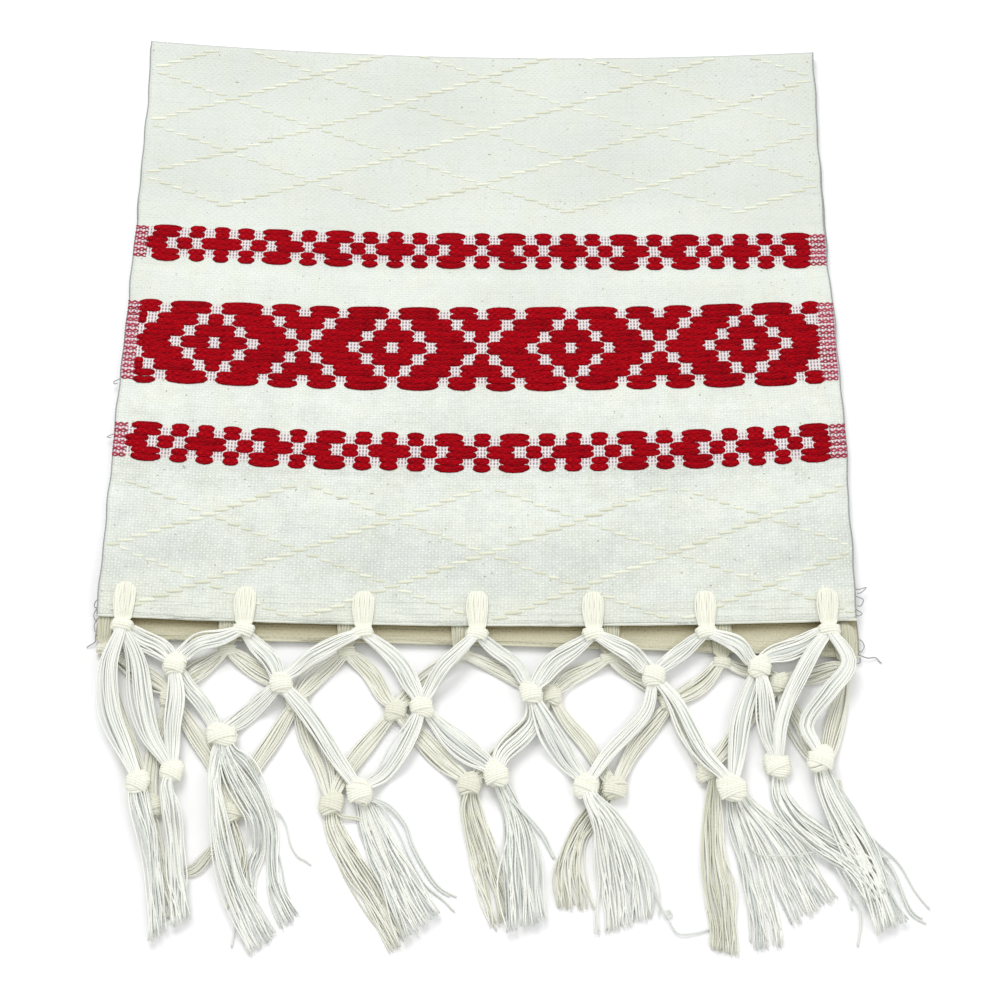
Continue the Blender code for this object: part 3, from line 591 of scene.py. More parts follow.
def cloth_material():
    """Plain weave with dark specks between its yarns as painted shade, dashes between the ends in the bands,
    and slubs.
    """
    nodes = Nodes("cotton_plain_weave", CLOTH_WHITE, 0.85, 0.15)
    end, along = nodes.uv("weave")
    cell, depth = nodes.uv("chart")
    band, hem = nodes.attribute("band"), nodes.attribute("hem")
    weft = along / WEFT_PITCH
    place = nodes.place()

    # Crossings of warp and weft, each a little out of its place
    loose_end = end + nodes.noise(place, 230.0, 1.0) * 0.7
    loose_weft = weft + nodes.noise((weft, end), 0.23, 1.0) * 0.9
    crossing = nodes.math("SINE", loose_end * math.pi) * nodes.math("SINE", loose_weft * math.pi)
    crossing = crossing + (nodes.noise((end * 0.7, weft * 1.3), 1.0, 2.0) - 0.5) * 2.2
    crown, under = nodes.between(crossing, 0.0, 0.9), nodes.between(crossing * -1.0, 0.1, 0.9) * 0.4
    rise = nodes.math("MAXIMUM", crown, under)
    uneven = nodes.noise((end * 0.45, along * 0.4), 1.0, 3.0)
    # Painted shade where no yarn crowns, varied at random
    grain = (1.0 - rise) * (uneven * 1.2 + 0.35)

    # Painted shade between the yarns, lighter on their crowns, with more contrast towards the hem
    near = nodes.between(nodes.parts(place)[1], 0.075, -0.10)
    contrast = near * (1.0 - FAR_CONTRAST) + FAR_CONTRAST
    shade = ((grain - 0.5) * contrast + 0.5) * (WEAVE_GAP_SHADE - band * BAND_GAP_SHADE_LOSS)
    # Painted shade in valleys and rumples, painted light on ridges
    shade = nodes.math("ADD", shade, nodes.attribute("valley") * RELIEF_SHADE_WEIGHT, clamp=True)
    # Painted shade and light of soft rumples
    rumple = (nodes.noise(place, 105.0, 2.0) - 0.5) * RUMPLE_SHADE
    shade = nodes.math("ADD", shade, rumple * contrast, clamp=True)
    slub_weft = nodes.noise((end * 0.06, weft * 0.9), 1.0, 1.0)
    slub_warp = nodes.noise((end * 0.9, along * 0.05), 1.0, 1.0)
    nep = nodes.between(nodes.noise(place, 620.0, 0.0), 0.80, 0.86)

    # Dashes of the open weave in the bands, partly the red weft below and partly painted shade in the gaps,
    # and the edges and the hems
    beside_end = nodes.math("ABSOLUTE", nodes.math("FRACT", end + 0.5) - 0.5)
    beside_dash = nodes.math("ABSOLUTE", nodes.math("FRACT", depth * DASHES_PER_PICK) - 0.5)
    dash = 1.0 - nodes.between(beside_end, 0.15, 0.30)
    dash = dash * (1.0 - nodes.between(beside_dash, 0.26, 0.42)) * band
    edge = nodes.math("MINIMUM", cell, float(CELLS) - cell)
    selvage = 1.0 - nodes.between(edge, SELVAGE_CELLS - 0.4, SELVAGE_CELLS)
    streak = nodes.between(nodes.noise((end * 0.05, weft * 0.75), 1.0, 2.0), 0.45, 0.66) * hem
    # Painted shade as a dark outline along the side edges and on the fold's far side
    rim = nodes.math("MAXIMUM", 1.0 - nodes.between(edge, 0.06, 0.16), nodes.attribute("rim"))
    layers = (
        (nodes.between(nodes.noise(place, 90.0, 3.0), 0.35, 0.7), CLOTH_WARM),
        (nodes.between(slub_weft, 0.55, 0.8) * 0.14, CLOTH_SHADE),
        (nodes.between(slub_warp, 0.55, 0.8) * 0.12, CLOTH_SHADE),
        # Painted shade between the yarns, in valleys and in rumples
        (shade, CLOTH_SHADE),
        (nep * 0.7, NEP),
        (band * 0.32, BAND_PINK),
        (selvage * band * 0.4, BAND_PINK),
        # Partly red weft, partly painted shade in the gaps
        (dash * 0.72, GAP_DARK),
        (streak * 0.14, CLOTH_SHADE),
        (hem * 0.15, HEM_CREAM),
        # Painted shade, warm, on the strip of the lower layer
        (nodes.attribute("strip") * 0.75, STRIP_PAINTED_SHADE),
        # Painted shadow under the upper hem's edge
        (nodes.attribute("tan") * 0.78, UNDER_HEM_SHADOW),
        # Painted shade along the edges and the fold
        (rim * 0.7, RIM_PAINTED_SHADE),
    )
    height = rise + uneven * 0.6 - dash - streak * 1.2
    return nodes.finished(nodes.tinted(CLOTH_WHITE, layers), height, WEAVE_BUMP)


# The light and the dark tone of each yarn, and how far apart the grooves between its plies are
YARNS = {
    "cream_pattern_yarn": ((0.825, 0.838, 0.71), (0.56, 0.57, 0.42), 1.4),
    "fringe_cotton_yarn": ((0.93, 0.935, 0.87), (0.58, 0.62, 0.59), 1.9),
    "knot_cotton_yarn": ((0.92, 0.92, 0.81), (0.62, 0.63, 0.53), 1.9),
    # The lower net's yarns: the same cotton, darker and warmer as painted shade
    "lower_knot_yarn_painted_shade": ((0.82, 0.815, 0.70), (0.56, 0.55, 0.42), 1.9),
    "lower_fringe_yarn_painted_shade": ((0.87, 0.87, 0.78), (0.62, 0.62, 0.49), 1.9),
    # Its dark tone is painted shade, strongest on the lower hem's roll
    "hem_cotton": (CLOTH_WHITE, (0.62, 0.60, 0.45), 1.5),
    # The frays are of the white weft, dark grey here as painted shade
    "edge_fray_thread": ((0.36, 0.37, 0.38), (0.24, 0.25, 0.27), 1.5),
}


def yarn_material(name):
    """Two-ply cotton yarn: slanting grooves round it with painted shade in them, and a tone of its own for
    each strand.
    """
    light, shade, ply_pitch = YARNS[name]
    nodes = Nodes(name, light, 0.8, 0.2)
    turn, along = nodes.uv("yarn")
    groove = nodes.math("ABSOLUTE", nodes.math("SINE", (turn * 2.0 + along / ply_pitch) * math.pi))
    fibre = nodes.noise((turn * 6.0, along * 0.8), 1.0, 2.0)
    layers = (
        (nodes.math("MULTIPLY", nodes.attribute("tone"), 1.0, clamp=True), shade),
        # Painted shade in the grooves between the plies
        ((1.0 - nodes.between(groove, 0.0, 0.55)) * 0.12, shade),
        (nodes.between(fibre, 0.5, 0.8) * 0.25, shade),
    )
    return nodes.finished(nodes.tinted(light, layers), groove + fibre * 0.5, 0.00004)


RED = (0.36, 0.0, 0.004)
RED_DEEP = (0.15, 0.0, 0.003)
RED_LIGHT = (0.56, 0.012, 0.022)
RED_PALE = (0.60, 0.09, 0.14)


def red_material():
    """Soft red pattern yarn, its fibres streaked along each float, and paler where its tone is below 0."""
    nodes = Nodes("red_pattern_yarn", RED, 0.9, 0.0, specular=0.05)
    turn, along = nodes.uv("yarn")
    tone = nodes.attribute("tone")
    streak = nodes.noise((turn * 18.0, along * 0.22, tone), 1.0, 3.0)
    fine = nodes.noise((turn * 40.0, along * 0.6), 1.0, 2.0)
    layers = (
        (nodes.between(streak, 0.42, 0.60), RED_DEEP),
        (nodes.between(fine, 0.50, 0.64) * 0.6, RED_LIGHT),
        (nodes.math("MULTIPLY", tone, 0.25, clamp=True), RED_DEEP),
        (nodes.math("MULTIPLY", tone, -1.0, clamp=True), RED_PALE),
    )
    return nodes.finished(nodes.tinted(RED, layers), streak + fine * 0.6, 0.0005)


def floor_material():
    nodes = Nodes("pale_floor", (0.93, 0.93, 0.935), 0.9, 0.0)
    grain = nodes.noise(nodes.place(), 40.0, 2.0)
    return nodes.finished(nodes.mixed(grain, (0.925, 0.925, 0.93), (0.94, 0.94, 0.945)))


CLOTH_COLUMNS = 140
UPPER_ROWS = 128
FOLD_ROWS = 9
LOWER_ROWS = 110
FOLD_SHARE = 3.1 / 112.0
NO_PICK = -5.0
EDGE_PULL = 0.012

# How much darker the upper layer is at a distance from its hem, where it rumples: painted shade, and painted
# light where the value is below 0
BROAD_SHADING = (
    (0.0, -0.8), (10.0, -0.6), (24.0, 0.3), (33.0, 0.8), (43.0, 0.0), (53.0, -0.8), (63.0, -1.6),
    (73.0, -0.4), (80.0, 0.0), (103.0, -0.6), (112.0, -1.3), (122.0, -1.2), (130.0, 0.0), (178.0, -0.4),
    (184.0, -0.8), (197.0, 1.0), (204.0, 0.2), (222.0, 0.2), (232.0, 0.9), (318.0, 1.0),
)


def cloth_rows():
    """Rows from the upper hem to the fold and on to the lower hem, as a layer and a position or a turn."""
    rows = [("upper", position) for position in np.linspace(4.0, FOLD_SHARE, UPPER_ROWS)]
    rows += [("fold", math.pi * step / FOLD_ROWS) for step in range(1, FOLD_ROWS)]
    rows += [("lower", position) for position in np.linspace(FOLD_SHARE / 3, 1.0, LOWER_ROWS)]
    return rows


def edge_wave(y):
    """How far the selvage stands out, in millimetres."""
    return 0.35 * np.sin(y / 8.0) * np.sin(y / 37.0 + 1.0) + 0.2 * np.sin(y / 3.7)


def upper_row(u, place, mark):
    """A row of the upper layer, with its depth in picks below a band's first one and its marks."""
    x, y = cloth_place(UPPER_LINES, place, u)
    from_hem = y - bow_at(UPPER_LINES[-1], u)
    depth = np.full_like(u, NO_PICK)
    for line, chart in BANDS:
        below = below_line(UPPER_LINES[line], u, y)
        picks = below / PICK_PITCH
        last = 2 * len(chart)
        depth = np.where((picks > -2) & (picks < last + 2), picks, depth)
        mark["band"] = np.where((picks > 0.3) & (picks < last - 0.55), 1.0, mark["band"])
    past_bands = below - band_depth(chart)
    mark["hem"] = 1.0 - held_in((from_hem - 9.0) / 6.0)
    # Painted shade in the valley below the last band, painted light on the ridge past it, and painted shade
    # and light of broad rumples
    mark["valley"] = bell(past_bands, 2.6, 1.8) - 0.6 * bell(past_bands, 6.0, 1.6)
    mark["valley"] += np.interp(from_hem, *np.transpose(BROAD_SHADING))
    mark["valley"] += 0.6 * np.sin(x / 23.0 + y / 41.0) * np.sin(y / 19.0 - x / 57.0 + 1.0)
    return x, y, upper_height(u, y), depth


def fold_row(u, turn, mark):
    """A row of the fold at a turn about its axis, with its far side marked darker as painted shade."""
    fold = UPPER_LINES[0]
    # Painted shade on the fold's far side
    mark["rim"] += 0.9 * bell(turn, 0.75, 0.42)
    y = bow_at(fold, u) - CLOTH_THICK / 2 - FOLD_RADIUS + FOLD_RADIUS * math.sin(turn)
    z = np.full_like(u, LOWER_REST + FOLD_RADIUS + FOLD_RADIUS * math.cos(turn))
    return line_x(fold, u), y, z, np.full_like(u, NO_PICK)


def lower_row(u, place, mark):
    """A row of the lower layer, which darkens where it comes out from under the upper one: painted shadow and
    painted shade.
    """
    x, y = cloth_place(LOWER_LINES, place, u)
    under = y - bow_at(UPPER_LINES[-1], u)
    # Painted shadow, darkest at the upper hem's edge and fading away from it
    mark["tan"] = np.exp(np.minimum(under, 0.0) / 4.6) * held_in((30.0 - under) / 20.0)
    # Painted shade over the lower layer near and under the upper hem
    mark["strip"] = held_in((40.0 - under) / 20.0)
    mark["hem"] = 1.0 - held_in((y - bow_at(LOWER_LINES[-1], u) - 6.0) / 6.0)
    return x, y, lower_height(u, y), np.full_like(u, NO_PICK)


def make_cloth(material):
    """The sheet from hem to hem, and its length in millimetres along its middle."""
    u = np.linspace(0.0, 1.0, CLOTH_COLUMNS + 1)
    pull = bell(u, 0.0, EDGE_PULL) - bell(u, 1.0, EDGE_PULL)
    marks = {name: [] for name in ("tan", "strip", "hem", "valley", "band", "rim")}
    makers = {"upper": upper_row, "fold": fold_row, "lower": lower_row}
    grid, charts = [], []
    for layer, place in cloth_rows():
        mark = {name: np.zeros_like(u) for name in marks}
        x, y, z, depth = makers[layer](u, place, mark)
        x = x - edge_wave(y + 9.0 * np.sign(u - 0.5)) * pull
        grid.append(np.stack([x, y, z], axis=-1))
        charts.append(np.stack([u * CELLS, depth], axis=-1))
        for name, values in mark.items():
            marks[name].append(values)
    grid = np.array(grid)
    rows, columns = grid.shape[:2]
    steps = np.linalg.norm(np.diff(grid[:, columns // 2], axis=0), axis=1)
    along = np.concatenate([[0.0], np.cumsum(steps)])
    index = np.arange(rows * columns).reshape(rows, columns)
    faces = np.stack([index[:-1, :-1], index[:-1, 1:], index[1:, 1:], index[1:, :-1]], axis=-1).reshape(-1, 4)
    mesh = bpy.data.meshes.new("towel_sheet")
    mesh.from_pydata((grid.reshape(-1, 3) * MM).tolist(), [], faces.tolist())
    ends = u * CELLS * ENDS_PER_CELL + ENDS_PER_CELL * (0.5 - CELL_SHIFT)
    weave = np.stack(np.broadcast_arrays(ends[None, :], along[:, None]), axis=-1).reshape(-1, 2)
    chart = np.array(charts).reshape(-1, 2)
    for name, values in (("weave", weave), ("chart", chart)):
        layer = mesh.uv_layers.new(name=name)
        layer.data.foreach_set("uv", values[faces.ravel()].astype(np.float32).ravel())
    for name, values in marks.items():
        attribute = mesh.attributes.new(name, "FLOAT", "POINT")
        attribute.data.foreach_set("value", np.array(values, np.float32).ravel())
    mesh.shade_smooth()
    mesh.materials.append(material)
    sheet = placed("towel_sheet", mesh)
    shell = sheet.modifiers.new("thickness", "SOLIDIFY")
    shell.thickness = SHEET_THICK * MM
    shell.offset = 0.0
    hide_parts("towel_cloth")
    return sheet, along[-1]


def is_red(chart, row_index, cell):
    inside = 0 <= row_index < len(chart)
    return inside and chart[row_index][(cell - MOTIF_CENTRE) % REPEAT] == "#"


def pattern_runs(chart, row_index):
    """The stretches of red cells along one chart row, as first and last cell across the whole cloth."""
    runs, start = [], None
    for cell in range(CELLS + 1):
        red = cell < CELLS and is_red(chart, row_index, cell)
        if red and start is None:
            start = cell
        if not red and start is not None:
            runs.append((start, cell - 1))
            start = None
    return runs


FLOAT_HALF_WIDTH = 2.1
FLOAT_PROUD = 0.55
FLOAT_END = 2.9
FLOAT_OVERLAP = 0.9
EDGE_BOW = 1.0
FLOAT_SIDES = 8
SHORTEST_FLOAT = 2.0
SHORTEST_CREAM_FLOAT = 3.0


def float_path(y_line, first_x, last_x, top, bow):
    """Points along one float, tapered where it dives under the warp, with the share of its full girth."""
    length = last_x - first_x
    count = max(7, int(length / 1.8))
    share = 0.5 - 0.5 * np.cos(np.linspace(0.0, math.pi, count))
    x = first_x + length * share
    near = np.minimum(share, 1 - share) * length
    girth = np.sin(held_in(near / min(FLOAT_END, 0.30 * length)) * math.pi / 2)
    y = y_line(x) + bow * np.sin(math.pi * share)
    return np.stack([x, y, top(x, y)], axis=-1), girth


def float_bow(chart, row_index, pick, cell, outward):
    """How far a float bows: outward at its band's edge, and into the next row where that is open."""
    first, last = 0, len(chart) - 1
    if row_index == (first, last)[pick]:
        return outward
    if row_index == (last, first)[pick]:
        return -0.55 * outward
    return 0.0 if is_red(chart, row_index + 2 * pick - 1, cell) else -0.25 * outward


def add_float(strands, line, below, bow, first_x, last_x):
    """One red float, puffed up by its length."""
    length = last_x - first_x
    puff = 0.55 + 0.45 * min(1.0, length / 15.0)
    blunt = 0.66 - 0.28 * min(1.0, length / 16.0)
    path, girth = float_path(
        lambda x: line_y(line, x) + PATTERN_LIFT - below - 0.35 * bow * puff,
        first_x - FLOAT_OVERLAP + chance.normal(0.0, 0.25),
        last_x + FLOAT_OVERLAP + chance.normal(0.0, 0.25),
        lambda x, y: upper_height(share_of(line, x), y) + SHEET_THICK / 2 - 0.06,
        bow * puff,
    )
    uneven = 1.0 + 0.04 * np.sin(path[:, 0] * 1.7 + below)
    width = FLOAT_HALF_WIDTH * (blunt + (1.0 - blunt) * girth) * uneven
    strands.add(path, width, np.maximum(FLOAT_PROUD * puff * girth, 0.06), UP, chance.random())


def make_pattern(material):
    """The red floats of the three bands, two picks to a chart row."""
    strands = Strands(FLOAT_SIDES)
    for number, chart in BANDS:
        line = UPPER_LINES[number]
        cell_width = (line.x_right - line.x_left) / CELLS
        low = line.x_left + (SELVAGE_CELLS + CELL_SHIFT) * cell_width
        high = line.x_right - (SELVAGE_CELLS + 0.3) * cell_width
        for row_index in range(len(chart)):
            for first, last in pattern_runs(chart, row_index):
                first_x = max(low, line.x_left + (first - 0.5 + CELL_SHIFT) * cell_width)
                last_x = min(high, line.x_left + (last + 0.5 + CELL_SHIFT) * cell_width)
                if last_x - first_x < SHORTEST_FLOAT:
                    continue
                for pick, outward in enumerate((0.55 * EDGE_BOW, -EDGE_BOW)):
                    below = (2 * row_index + pick + 0.5) * PICK_PITCH + chance.normal(0.0, 0.1)
                    bow = float_bow(chart, row_index, pick, (first + last) // 2, outward)
                    add_float(strands, line, below, bow, first_x, last_x)
        selvage_lines(strands, line, chart, cell_width)
    return strands.piece("red_pattern_upper", material, "woven_cloth")


def selvage_lines(strands, line, chart, cell_width):
    """Red picks at both edges of a band, each weaving over and under the warp."""
    reach = SELVAGE_CELLS * cell_width
    wave_length = 2 * cell_width / ENDS_PER_CELL
    left = (line.x_left + 0.2, reach)
    right = (line.x_right - reach - 0.3 * cell_width, reach + 0.25 * cell_width)
    for pick in range(2 * len(chart)):
        below = (pick + 0.5) * PICK_PITCH
        for start, length in (left, right):
            x = np.linspace(start, start + length, 24)
            swing = np.sin(2 * math.pi * x / wave_length + pick * math.pi)
            for strand in (-1, 1):
                y = line_y(line, x) + PATTERN_LIFT - below + strand * (0.5 + 0.3 * swing)
                z = upper_height(share_of(line, x), y) + SHEET_THICK / 2 + 0.35 * FLOAT_PROUD * strand * swing
                tone = -0.4 - 0.6 * chance.random()
                strands.add(np.stack([x, y, z], axis=-1), 0.42, 0.5 * FLOAT_PROUD, UP, tone)


def make_lattice(material):
    """Cream floats in crossing diagonals on the upper layer."""
    strands = Strands(6)
    for lattice in LATTICES:
        line = UPPER_LINES[lattice.line]
        cell_width = (line.x_right - line.x_left) / CELLS
        for step in range(lattice.first, lattice.last + 1):
            for cell in range(CELLS):
                phase = (cell - MOTIF_CENTRE) % REPEAT
                rising = phase == -step % REPEAT
                if not rising and phase != step % REPEAT:
                    continue
                centre = line.x_left + (cell + CELL_SHIFT + lattice.cell_shift) * cell_width
                half = cell_width * ((0.62 if rising else 0.46) + chance.normal(0.0, 0.04))
                first_x = max(line.x_left + 1.5, centre - half)
                last_x = min(line.x_right - 1.5, centre + half)
                if last_x - first_x < SHORTEST_CREAM_FLOAT:
                    continue
                above = lattice.y_cross - lattice.step * step + chance.normal(0.0, 0.16)
                tilt = lattice.step * (0.14 if rising else -0.14) / half
                path, _ = float_path(
                    lambda x: line_y(line, x) + above + tilt * (x - centre),
                    first_x,
                    last_x,
                    lambda x, y: upper_height(share_of(line, x), y) + SHEET_THICK / 2 + 0.05,
                    0.0,
                )
                lens = np.sin(math.pi * np.linspace(0.02, 0.98, len(path))) ** 0.8 * chance.uniform(0.6, 1.1)
                girth = lens * lattice.girth * (1.0 if rising else 0.72)
                strands.add(path, 0.25 + 0.65 * girth, 0.15 + 0.55 * girth, UP, 0.6 * chance.random())
    return strands.piece("cream_lattice", material, "woven_cloth")


def hem_roll(material):
    """The rolled edge of each hem: loops of warp round a doubled weft."""
    strands = Strands(8)
    u = np.linspace(0.0, 1.0, 220)
    # The lower roll is darker and warmer: painted shade, as on the lower layer's strip
    for hem, height, tone in ((UPPER_LINES[-1], upper_height, 0.3), (LOWER_LINES[-1], lower_height, 0.9)):
        x = line_x(hem, u)
        y = bow_at(hem, u) + 0.35
        z = height(u, y) + 0.12 * np.sin(x / 9.0)
        girth = 0.58 + 0.04 * np.sin(x / 1.9) + 0.05 * np.sin(x / 5.3)
        strands.add(np.stack([x, y, z], axis=-1), girth, girth, UP, tone)
    return strands.piece("hem_rolls", material, "woven_cloth")


class Heaps:
    """What already lies on the ground, as round patches with a top height, for what is laid over it."""

    def __init__(self):
        self.patches = []
        self.table = None

    def add(self, x, y, radius, top):
        self.patches.append((x, y, radius, top))
        self.table = None

    def rows(self):
        if self.table is None:
            self.table = np.array(self.patches).reshape(-1, 4)
        return self.table

    def add_path(self, path, width, height):
        for start, stop in zip(path[:-1], path[1:]):
            steps = max(2, math.ceil(math.dist(start, stop) / SAMPLE_STEP))
            for step in range(steps + 1):
                x, y, z, girth = start + (stop - start) * step / steps
                self.add(x, y, girth * width / 2, z + girth * height / 2)

    def add_hem(self, line, straps, strap_width):
        """The hem that the upper net passes over, with the straps on it."""
        across = np.arange(line.x_left, line.x_right, SAMPLE_STEP)
        cloth = (across, SAMPLE_STEP, LOWER_HEM_Z + CLOTH_THICK / 2)
        crossed = (straps, strap_width / 2, STRAP_LAYER_Z + STRAP_THICK)
        for places, radius, top in (cloth, crossed):
            for x in places:
                for back in np.arange(0.0, STRAP_REACH, SAMPLE_STEP):
                    self.add(x, line_y(line, x) + back, radius, top)

    def under_strand(self, x, y, radius):
        """The lowest underside of a flat strand at a place."""
        patches = self.rows()
        near = np.hypot(patches[:, 0] - x, patches[:, 1] - y) < patches[:, 2] + radius
        return float(patches[near, 3].max()) + LAID_CLEARANCE if near.any() else 0.0

    def under_ball(self, x, y, radius, height):
        """The lowest underside of a round knot at a place, whose rim curves up from what lies beside it."""
        patches = self.rows()
        apart = np.maximum(np.hypot(patches[:, 0] - x, patches[:, 1] - y) - patches[:, 2], 0.0)
        near = apart < radius
        if not near.any():
            return 0.0
        curve = height / 2 * (1 - np.sqrt(1 - (apart[near] / radius) ** 2))
        return max(0.0, float((patches[near, 3] + LAID_CLEARANCE - curve).max()))


def curved_path(start, end, bow, sway, points):
    """Points in plan from start to end, pushed sideways by a bow and an S."""
    start, end = np.array(start, float), np.array(end, float)
    along = (end - start) / np.linalg.norm(end - start)
    side = np.array([-along[1], along[0]])
    share = np.linspace(0.0, 1.0, points)
    push = bow * np.sin(math.pi * share) + sway * np.sin(2 * math.pi * share)
    return start + share[:, None] * (end - start) + push[:, None] * side


def resting_heights(strand, heaps):
    """The lowest underside at each point of a strand whose stretches clear what lies below them."""
    plan = strand.plan
    girths = strand.girths if strand.loose else np.ones(len(plan))
    needed = np.zeros(len(plan))
    for index in range(len(plan) - 1):
        stretch = plan[index + 1] - plan[index]
        steps = max(2, math.ceil(np.linalg.norm(stretch) / SAMPLE_STEP))
        places = [plan[index] + stretch * step / steps for step in range(steps + 1)]
        radius = max(girths[index : index + 2]) * strand.width / 2
        top = max(heaps.under_strand(x, y, radius) for x, y in places)
        needed[index : index + 2] = np.maximum(needed[index : index + 2], top)
    return needed


Strand = namedtuple("Strand", "start end plan girths width height loose")


def bundle_strands(links, knots):
    """The bundles from knot to knot, seen from above, widest halfway."""
    belly = np.sin(math.pi * np.linspace(0.0, 1.0, BUNDLE_POINTS))
    strands = []
    for link in links:
        start, end = knots[link.start], knots[link.end]
        plan = curved_path((start.x, start.y), (end.x, end.y), link.bow, link.sway, BUNDLE_POINTS)
        along = (plan[-1] - plan[0]) / np.linalg.norm(plan[-1] - plan[0])
        plan[0] += along * ROOT_INSET
        plan[-1] -= along * ROOT_INSET
        if link.start.startswith("hem") and end.y > ROW_THREE:
            plan[:, 0] += DROP_SHARE * (end.x - start.x) * belly
        girths = BUNDLE_NECK + (1 - BUNDLE_NECK) * belly
        strands.append(Strand(link.start, link.end, plan, girths, BUNDLE_WIDTH, BUNDLE_HEIGHT, False))
    return strands


def clump_strands(clumps):
    """The clumps of the tassels, seen from above, their girths as shares of the widest place."""
    strands = []
    for clump in clumps:
        places = np.array(clump.places)
        widest = places[:, 2].max()
        plan, girths = places[:, :2], places[:, 2] / widest
        strands.append(Strand(clump.knot, None, plan, girths, widest, LOCK_HEIGHT, True))
    return strands


def laid_path(strand, middles, heaps):
    """The path of a strand: it lies on the ground or on what it crosses, and ends inside its knots."""
    low = resting_heights(strand, heaps)
    path = np.column_stack([strand.plan, low + strand.girths * strand.height / 2, strand.girths])
    lean = ROOT_RISE * math.sin(strand.plan[-1][0] - strand.plan[0][0])
    path[0, 2] = max(path[0, 2], middles[strand.start] + lean)
    if strand.end:
        path[-1, 2] = max(path[-1, 2], middles[strand.end] - lean)
    return path


def hem_knots(hem, straps):
    """The knots at the hem's edge, one for each strap."""
    knots = []
    for number, x in enumerate(straps, 1):
        y = line_y(hem, x) - HEM_KNOT_LENGTH / 2 - 2 * CLEARANCE
        knots.append(Knot(f"hem{number}", x, y, HEM_KNOT_WIDTH, HEM_KNOT_LENGTH))
    return knots


def seat_knots(knots, strands, height, heaps):
    """The underside of each knot, on what lies below it and no lower than its strands need."""
    bases = {}
    for knot in knots.values():
        radius = (knot.width + knot.length) / 4
        bases[knot.name] = heaps.under_ball(knot.x, knot.y, radius, height)
    for strand in strands:
        low = resting_heights(strand, heaps)
        bases[strand.start] = max(bases[strand.start], low[0] - height * KNOT_BITE)
        if strand.end:
            bases[strand.end] = max(bases[strand.end], low[-1] - height * KNOT_BITE)
    return bases


YARN_RADIUS = 0.42
STRAP_YARN = 0.52
YARN_SIDES = 5
LEG_YARNS = 16
STRAP_YARNS = 13
TASSEL_YARN = 0.38
LEG_POINTS = 18
LEG_NECK_WIDTH = 3.6
LEG_BELLY_WIDTH = 7.4
TASSEL_POINTS = 22
STRAP_POINTS = 22
STRAP_BACK_POINTS = 12
STRAP_SPREAD = 2.6


def plan_sides(path):
    """The direction to the left of a path at each point, level."""
    along = np.gradient(path[:, :2], axis=0)
    along /= np.linalg.norm(along, axis=1)[:, None]
    return np.stack([-along[:, 1], along[:, 0], np.zeros(len(path))], axis=-1)


def wave(share, low, high):
    """A slow random wave along a strand."""
    return np.sin(share * math.pi * chance.uniform(low, high) + chance.uniform(0.0, 2 * math.pi))


def add_leg(strands, path, drape):
    """A bundle between two knots as separate yarns, narrow at its ends and draped onto the lower knot."""
    path = smooth_path(path, LEG_POINTS)
    share = np.linspace(0.0, 1.0, LEG_POINTS)
    path[:, 2] += drape * bell(share, 0.88, 0.09)
    belly = np.sin(math.pi * share ** chance.uniform(0.75, 1.3)) ** 0.75
    width = LEG_NECK_WIDTH + (LEG_BELLY_WIDTH * chance.uniform(0.9, 1.12) - LEG_NECK_WIDTH) * belly
    side = plan_sides(path)
    path[:, :2] += side[:, :2] * (0.8 * wave(share, 1.0, 2.2) * np.sin(math.pi * share))[:, None]
    parting = chance.uniform(-0.5, 0.5)
    apart = chance.uniform(0.08, 0.2) if chance.random() < 0.35 else 0.0
    slack = chance.random() < 0.25
    # A core of yarn under the others, in a dark tone: painted shade in the gaps between them
    core = path[:, :3] + np.array([0.0, 0.0, -0.1])
    core[:, 2] = np.maximum(core[:, 2], 0.45)
    strands.add(core, width * (0.43 - 1.2 * apart), 0.5, UP, 0.8)
    for yarn in range(LEG_YARNS):
        across = -1 + 2 * (yarn + 0.5) / LEG_YARNS + chance.normal(0.0, 0.05)
        layer = (0.55 if yarn % 2 else -0.15) * math.sqrt(max(0.1, 1 - 0.8 * min(1.0, across * across)))
        wander = 0.1 * wave(share, 1.0, 3.0) * belly
        lift = 0.2 * wave(share, 1.0, 3.0)
        offset = (across + wander + apart * np.sign(across - parting) * belly) * width / 2
        if slack and yarn in (0, 1):
            offset -= chance.uniform(1.0, 2.6) * np.sin(math.pi * share) ** 2
        points = path[:, :3] + side * offset[:, None]
        points[:, 2] = np.maximum(points[:, 2] + layer + lift, YARN_RADIUS)
        strands.add(points, YARN_RADIUS, YARN_RADIUS, UP, 0.35 * chance.random())


def add_clump(strands, path, clump, width):
    """Loose yarns of a tassel side by side in one clump, a few of them wandering, all cut off bluntly."""
    path = smooth_path(path, TASSEL_POINTS)
    share = np.linspace(0.0, 1.0, TASSEL_POINTS)
    side = plan_sides(path)
    half = np.maximum(path[:, 3] * width, 2.0) / 2
    length = np.linalg.norm(np.diff(path[:, :2], axis=0), axis=1).sum()
    yarns = int(1.4 * clump.yarns)
    for yarn in range(yarns):
        across = -1 + 2 * (yarn + 0.5) / yarns + chance.normal(0.0, 0.08)
        reach = 1 + (clump.cut * across / 2 - abs(chance.normal(0.0, 1.3))) / length
        wander = chance.uniform(0.3, 1.1) * wave(share, 2.0, 6.0) * share**0.6
        if chance.random() < 0.28:
            wander += chance.uniform(1.2, 3.4) * wave(share, 0.8, 2.4) * share
        points = path[:, :3] + side * (across * half + wander)[:, None]
        points = points[:1] + (points - points[:1]) * np.array([reach, reach, 1.0])
        lift = chance.uniform(-0.7, 1.3) * (1 - 0.4 * share) + 0.4 * wave(share, 2.0, 4.0) * share
        points[:, 2] = np.maximum(points[:, 2] + lift, TASSEL_YARN)
        tone = 0.75 if chance.random() < 0.3 else 0.25 * chance.random()
        strands.add(points, TASSEL_YARN, TASSEL_YARN, UP, tone)


